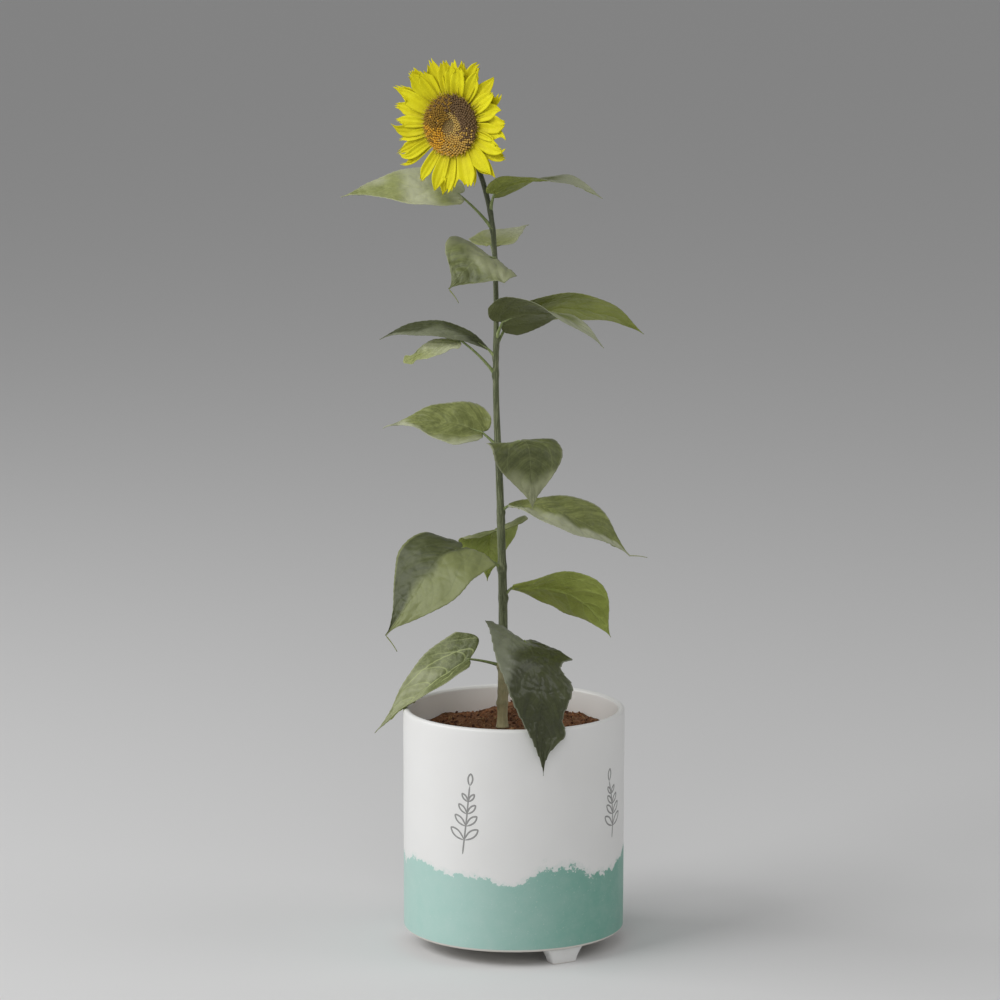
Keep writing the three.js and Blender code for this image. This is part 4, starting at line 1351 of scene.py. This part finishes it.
rng = random.Random(61)
kinds = {kind: [] for kind in FLORET_COLOURS}
for i in range(FLORETS):
    radius = 32.6 * math.sqrt((i + 0.5) / FLORETS)
    turn = i * GOLDEN_ANGLE
    kinds[floret_kind(radius / DISC_RADIUS, turn, rng)].append((radius, turn))
FLORET_SHAPES = {"eye": TIGHT_FLORET, "gold": BUD_FLORET}
for kind, spots in kinds.items():
    finish = plush(f"floret_{kind}", *FLORET_COLOURS[kind])
    set_in_dome(f"florets_{kind}", FLORET_SHAPES.get(kind, OPEN_FLORET), spots, rng, finish)
styles = [spot for spot in kinds["orange"] + kinds["tan"] if rng.random() < 0.6]
style_gold = plush("style_gold", (0.42, 0.22, 0.06), (0.66, 0.42, 0.12))
set_in_dome("floret_styles", CURLED_STYLE, styles, rng, style_gold, (0.9, 1.1))
FRINGE = 84
FRINGE_TIP = ring_solid([(0.75, -0.5), (0.8, 2.0), (0.5, 4.2), (0.05, 6.0)])
for name, first, dark, light in (
    ("fringe_brown", 0, (0.36, 0.26, 0.04), (0.62, 0.48, 0.08)),
    ("fringe_yellow", 1, (0.56, 0.47, 0.03), (0.82, 0.72, 0.05)),
):
    spots = [
        (rng.uniform(31.6, 33.4), 2 * math.pi * (i + rng.uniform(-0.3, 0.3)) / FRINGE)
        for i in range(first, FRINGE, 2)
    ]
    set_in_dome(f"disc_{name}", FRINGE_TIP, spots, rng, plush(name, dark, light), (0.8, 1.15), 1.9)

# ---- The ray petals ------------------------------------------------------------------------
# Long soft yellow petals in two overlapping rows round the disc. Each is pleated along its length,
# narrower at its root, and ends in a point that hooks forward or to one side.

petal_skin, given, exit_ = new_effect(
    "petal_skin", SURFACE, Body=(0.64, 0.58, 0.009, 1), Pale=(0.70, 0.65, 0.016, 1),
    Root=(0.45, 0.36, 0.008, 1),
)
uv = surface_in(petal_skin)
threads = uv.into("Mapping", {"Vector": uv, "Scale": (1.2, 26, 1)}).noise(1.0, 2, 0.6)
cloud = place_in(petal_skin).noise(110, 3, 0.6)
root = 1 - uv.axis("X").step(0.02, 0.5)
body = cloud.step(0.35, 0.7).blend(given["Body"], given["Pale"])
body = (threads.step(0.5, 0.7) * 0.22).blend(body, given["Root"])
body = (root * 0.85).blend(body, given["Root"])
join(exit_, {"Color": body, "Roughness": cloud * 0.2 + 0.45, "Height": threads})


def petal_finish(name, body, pale, root):
    finish, tree, shader = new_finish(name, Specular_IOR_Level=0.12)
    skin = use_effect(tree, petal_skin, Body=(*body, 1), Pale=(*pale, 1), Root=(*root, 1))
    dress(shader, skin, 0.5, 0.0005)
    return finish


PETAL_ROWS, PETAL_COLUMNS = 24, 13
PETAL_FACES = sum(sheet_faces(PETAL_ROWS, PETAL_COLUMNS), [])
PETAL_SHEET = 0.34
PETAL_ROOT_DEPTH = 1.2


def petal(
    turn, root, length, width, lift, curl, twist, hook, rng, *,
    root_share=0.6, widest=0.5, tip=0.06, blunt=0.55, teeth=0.0, slant=0.0,
):
    """One ray: the corners of its two sides, and their (along, across) coordinates."""
    point = np.array([root * math.cos(turn), root * math.sin(turn), -PETAL_ROOT_DEPTH])
    phase = rng.uniform(0, 2 * math.pi)
    grid, places = [], []
    for i in range(PETAL_ROWS):
        share = i / (PETAL_ROWS - 1)
        sway = turn + hook * max(0, share - 0.55) ** 2 * 4
        rise = lift + (curl - lift) * share**2.2
        ahead = np.array([math.cos(sway) * math.cos(rise), math.sin(sway) * math.cos(rise), math.sin(rise)])
        level = np.array([-math.sin(sway), math.cos(sway), 0])
        up = np.cross(ahead, level)
        roll = twist * share
        side = level * math.cos(roll) + up * math.sin(roll)
        face = up * math.cos(roll) - level * math.sin(roll)
        if share < widest:
            half = root_share + (1 - root_share) * math.sin(math.pi / 2 * share / widest)
        else:
            past = (share - widest) / (1 - widest)
            half = tip + (1 - tip) * ((1 + math.cos(math.pi * past)) / 2) ** blunt
        half *= width / 2
        ragged = max(0, share - 0.7) / 0.3
        for k in range(PETAL_COLUMNS):
            a = 2 * k / (PETAL_COLUMNS - 1) - 1
            cup = 0.15 * width * a * a * (1 - 0.5 * share) * (half / width * 2)
            pleat = 0.36 * math.cos(2.5 * math.pi * a) * min(1, half / 3)
            flutter = 0.55 * a * abs(a) * math.sin(5 * share + phase)
            notch = teeth * (0.5 - 0.5 * math.cos(3 * math.pi * a) + 0.5 * abs(a)) + slant * a
            notch *= length * ragged
            grid.append(point + side * a * half + face * (cup + pleat + flutter) - ahead * notch)
            places.append((share, 0.5 + a / 2))
        point = point + ahead * length / (PETAL_ROWS - 1)
    grid = np.array(grid).reshape(PETAL_ROWS, PETAL_COLUMNS, 3)
    normals = np.cross(np.gradient(grid, axis=0), np.gradient(grid, axis=1))
    normals /= np.maximum(np.linalg.norm(normals, axis=2, keepdims=True), 1e-9)
    normals[normals[..., 2] < 0] *= -1
    sides = [(grid + normals * s * PETAL_SHEET / 2).reshape(-1, 3) for s in (1, -1)]
    return np.concatenate(sides), np.tile(np.array(places), (2, 1))


SPARSE_SIDE = math.radians(215)  # where the rays are narrower and stand apart


def petal_row(name, seed, count, start, length, width, lift, finish, stands_for=()):
    rng = random.Random(seed)
    points, faces, uv = [], [], []
    for i in range(count):
        turn = start + 2 * math.pi * i / count + rng.gauss(0, 0.06)
        sparse = max(0, math.cos(turn - SPARSE_SIDE)) ** 3
        toothed = rng.random() < 0.65
        corners, spots = petal(
            turn, 28.5, length * rng.uniform(0.88, 1.07),
            width * rng.uniform(0.85, 1.12) * (1 - 0.38 * sparse),
            lift + rng.gauss(0, 0.06), rng.uniform(-0.2, 0.7), rng.gauss(0, 0.2), rng.gauss(0, 0.6), rng,
            widest=rng.uniform(0.5, 0.66), blunt=rng.uniform(0.4, 0.6),
            tip=rng.uniform(0.35, 0.6) if toothed else 0.06,
            teeth=rng.uniform(0.07, 0.15) if toothed else 0, slant=rng.gauss(0, 0.06),
        )
        add_solid(points, faces, corners, PETAL_FACES)
        uv += spots.tolist()
    add_piece(name, on_flower(points), faces, [finish], stands_for, uv=uv)


petal_front = petal_finish("petal_bright", (0.70, 0.64, 0.009), (0.76, 0.71, 0.016), (0.51, 0.43, 0.009))
petal_back = petal_finish("petal_deep", (0.66, 0.59, 0.009), (0.73, 0.665, 0.014), (0.42, 0.365, 0.011))
petal_row("petals_back", 71, 20, 0.10, 49, 19.5, 0.10, petal_back, ["flower_rays"])
petal_row("petals_front", 72, 18, 0.26, 46, 18.5, 0.24, petal_front)

# ---- The cup and its bracts ----------------------------------------------------------------
# The flower's green back: a shallow fleshy cup that the neck runs into, clothed in three rows of
# narrow pointed bracts whose tips stand out behind the petals.

bract_green = rind_finish("bract_green", (0.14, 0.20, 0.06, 1), (0.28, 0.36, 0.14, 1))
cup_profile = [
    (0, -6.3),
    *[(r, -6.3) for r in (10, 20, 30)],
    (33.5, -5.6),
    (34.8, -4.2),
    (34.4, -6.0),
    (32, -9.2),
    (28, -12.2),
    (22, -15.6),
    (15, -18.4),
    (9, -20.4),
    (5, -21.6),
    (3.6, -22.2),
    (0, -22.2),
]


def fleshy(turn, r, z):
    """The cup's skin is a little uneven."""
    return r * (1 + 0.03 * noise.noise(Vector((math.cos(turn) * 2, math.sin(turn) * 2, z / 6))))


points, faces = lathe(cup_profile[::-1], 60, fleshy)
add_piece("flower_cup_green", on_flower(points), faces, [bract_green], ["flower_cup"])


def bract_row(name, seed, count, start, root, length, width, lift, curl):
    """Bracts round the cup; root is the radius and height that they grow from."""
    rng = random.Random(seed)
    points, faces = [], []
    for i in range(count):
        turn = start + 2 * math.pi * i / count + rng.gauss(0, 0.05)
        corners, _ = petal(
            turn, root[0] * rng.uniform(0.96, 1.04), length * rng.uniform(0.88, 1.1),
            width * rng.uniform(0.9, 1.1), lift + rng.gauss(0, 0.06), curl + rng.gauss(0, 0.25),
            rng.gauss(0, 0.15), rng.gauss(0, 0.3), rng, widest=0.35, tip=0.03,
        )
        add_solid(points, faces, corners + (0, 0, root[1] + PETAL_ROOT_DEPTH), PETAL_FACES)
    add_piece(name, on_flower(points), faces, [bract_green])


bract_row("bracts_outer", 81, 14, 0.0, (17, -18.6), 27, 9.5, 0.55, -0.5)
bract_row("bracts_middle", 82, 15, 0.2, (23, -15.2), 27, 9.5, 0.5, -0.25)
bract_row("bracts_inner", 83, 16, 0.1, (29, -11.0), 25, 8.5, 0.42, 0.0)

# ---- The floor, the light and the camera ---------------------------------------------------
# A plain pale floor and a soft studio: two large lights at the left, two weaker ones at the right
# and in front, and an even pale surround.

floor_mesh = bpy.data.meshes.new("floor")
floor_mesh.from_pydata([(-30, -30, 0), (30, -30, 0), (30, 30, 0), (-30, 30, 0)], [], [(0, 1, 2, 3)])
floor, tree, shader = new_finish("pale_floor", Roughness=0.8, Base_Color=(0.72, 0.72, 0.72, 1))
floor_mesh.materials.append(floor)
floor_piece = bpy.data.objects.new("floor", floor_mesh)
bpy.context.scene.collection.objects.link(floor_piece)

scene = bpy.context.scene
scene.view_settings.view_transform = "Standard"
scene.world = bpy.data.worlds.new("studio")
scene.world.use_nodes = True
surround = scene.world.node_tree.nodes["Background"]
join(surround, {"Color": (0.93, 0.93, 0.93, 1), "Strength": 0.32})


def soft_light(name, place, power, width, height, aim=(0, 0, 0.55)):
    light = bpy.data.lights.new(name, "AREA")
    light.shape = "RECTANGLE"
    light.size, light.size_y, light.energy = width, height, power
    lamp = bpy.data.objects.new(name, light)
    lamp.location = place
    lamp.rotation_euler = (Vector(aim) - Vector(place)).to_track_quat("-Z", "Y").to_euler()
    scene.collection.objects.link(lamp)


soft_light("key", (-3.0, -1.9, 3.3), 75, 2.0, 2.0)
soft_light("left", (-3.8, 0.1, 2.3), 55, 2.2, 2.2)
soft_light("right", (3.4, -0.6, 2.8), 21, 2.0, 2.0)
soft_light("fill", (-0.4, -3.4, 2.9), 24, 2.0, 2.0)

CAMERA_DISTANCE = 5.0
CAMERA_HEIGHT = 1.3651
CAMERA_DROP = 9.733  # degrees below level
CAMERA_SWING = 0.178  # degrees to the left
lens = bpy.data.cameras.new("camera")
lens.lens = 163.1
lens.sensor_width = 36
camera = bpy.data.objects.new("camera", lens)
camera.location = (AXIS[0], AXIS[1] - CAMERA_DISTANCE, CAMERA_HEIGHT)
camera.rotation_euler = (math.radians(90 - CAMERA_DROP), 0, math.radians(CAMERA_SWING))
scene.collection.objects.link(camera)
scene.camera = camera

bpy.context.view_layer.update()
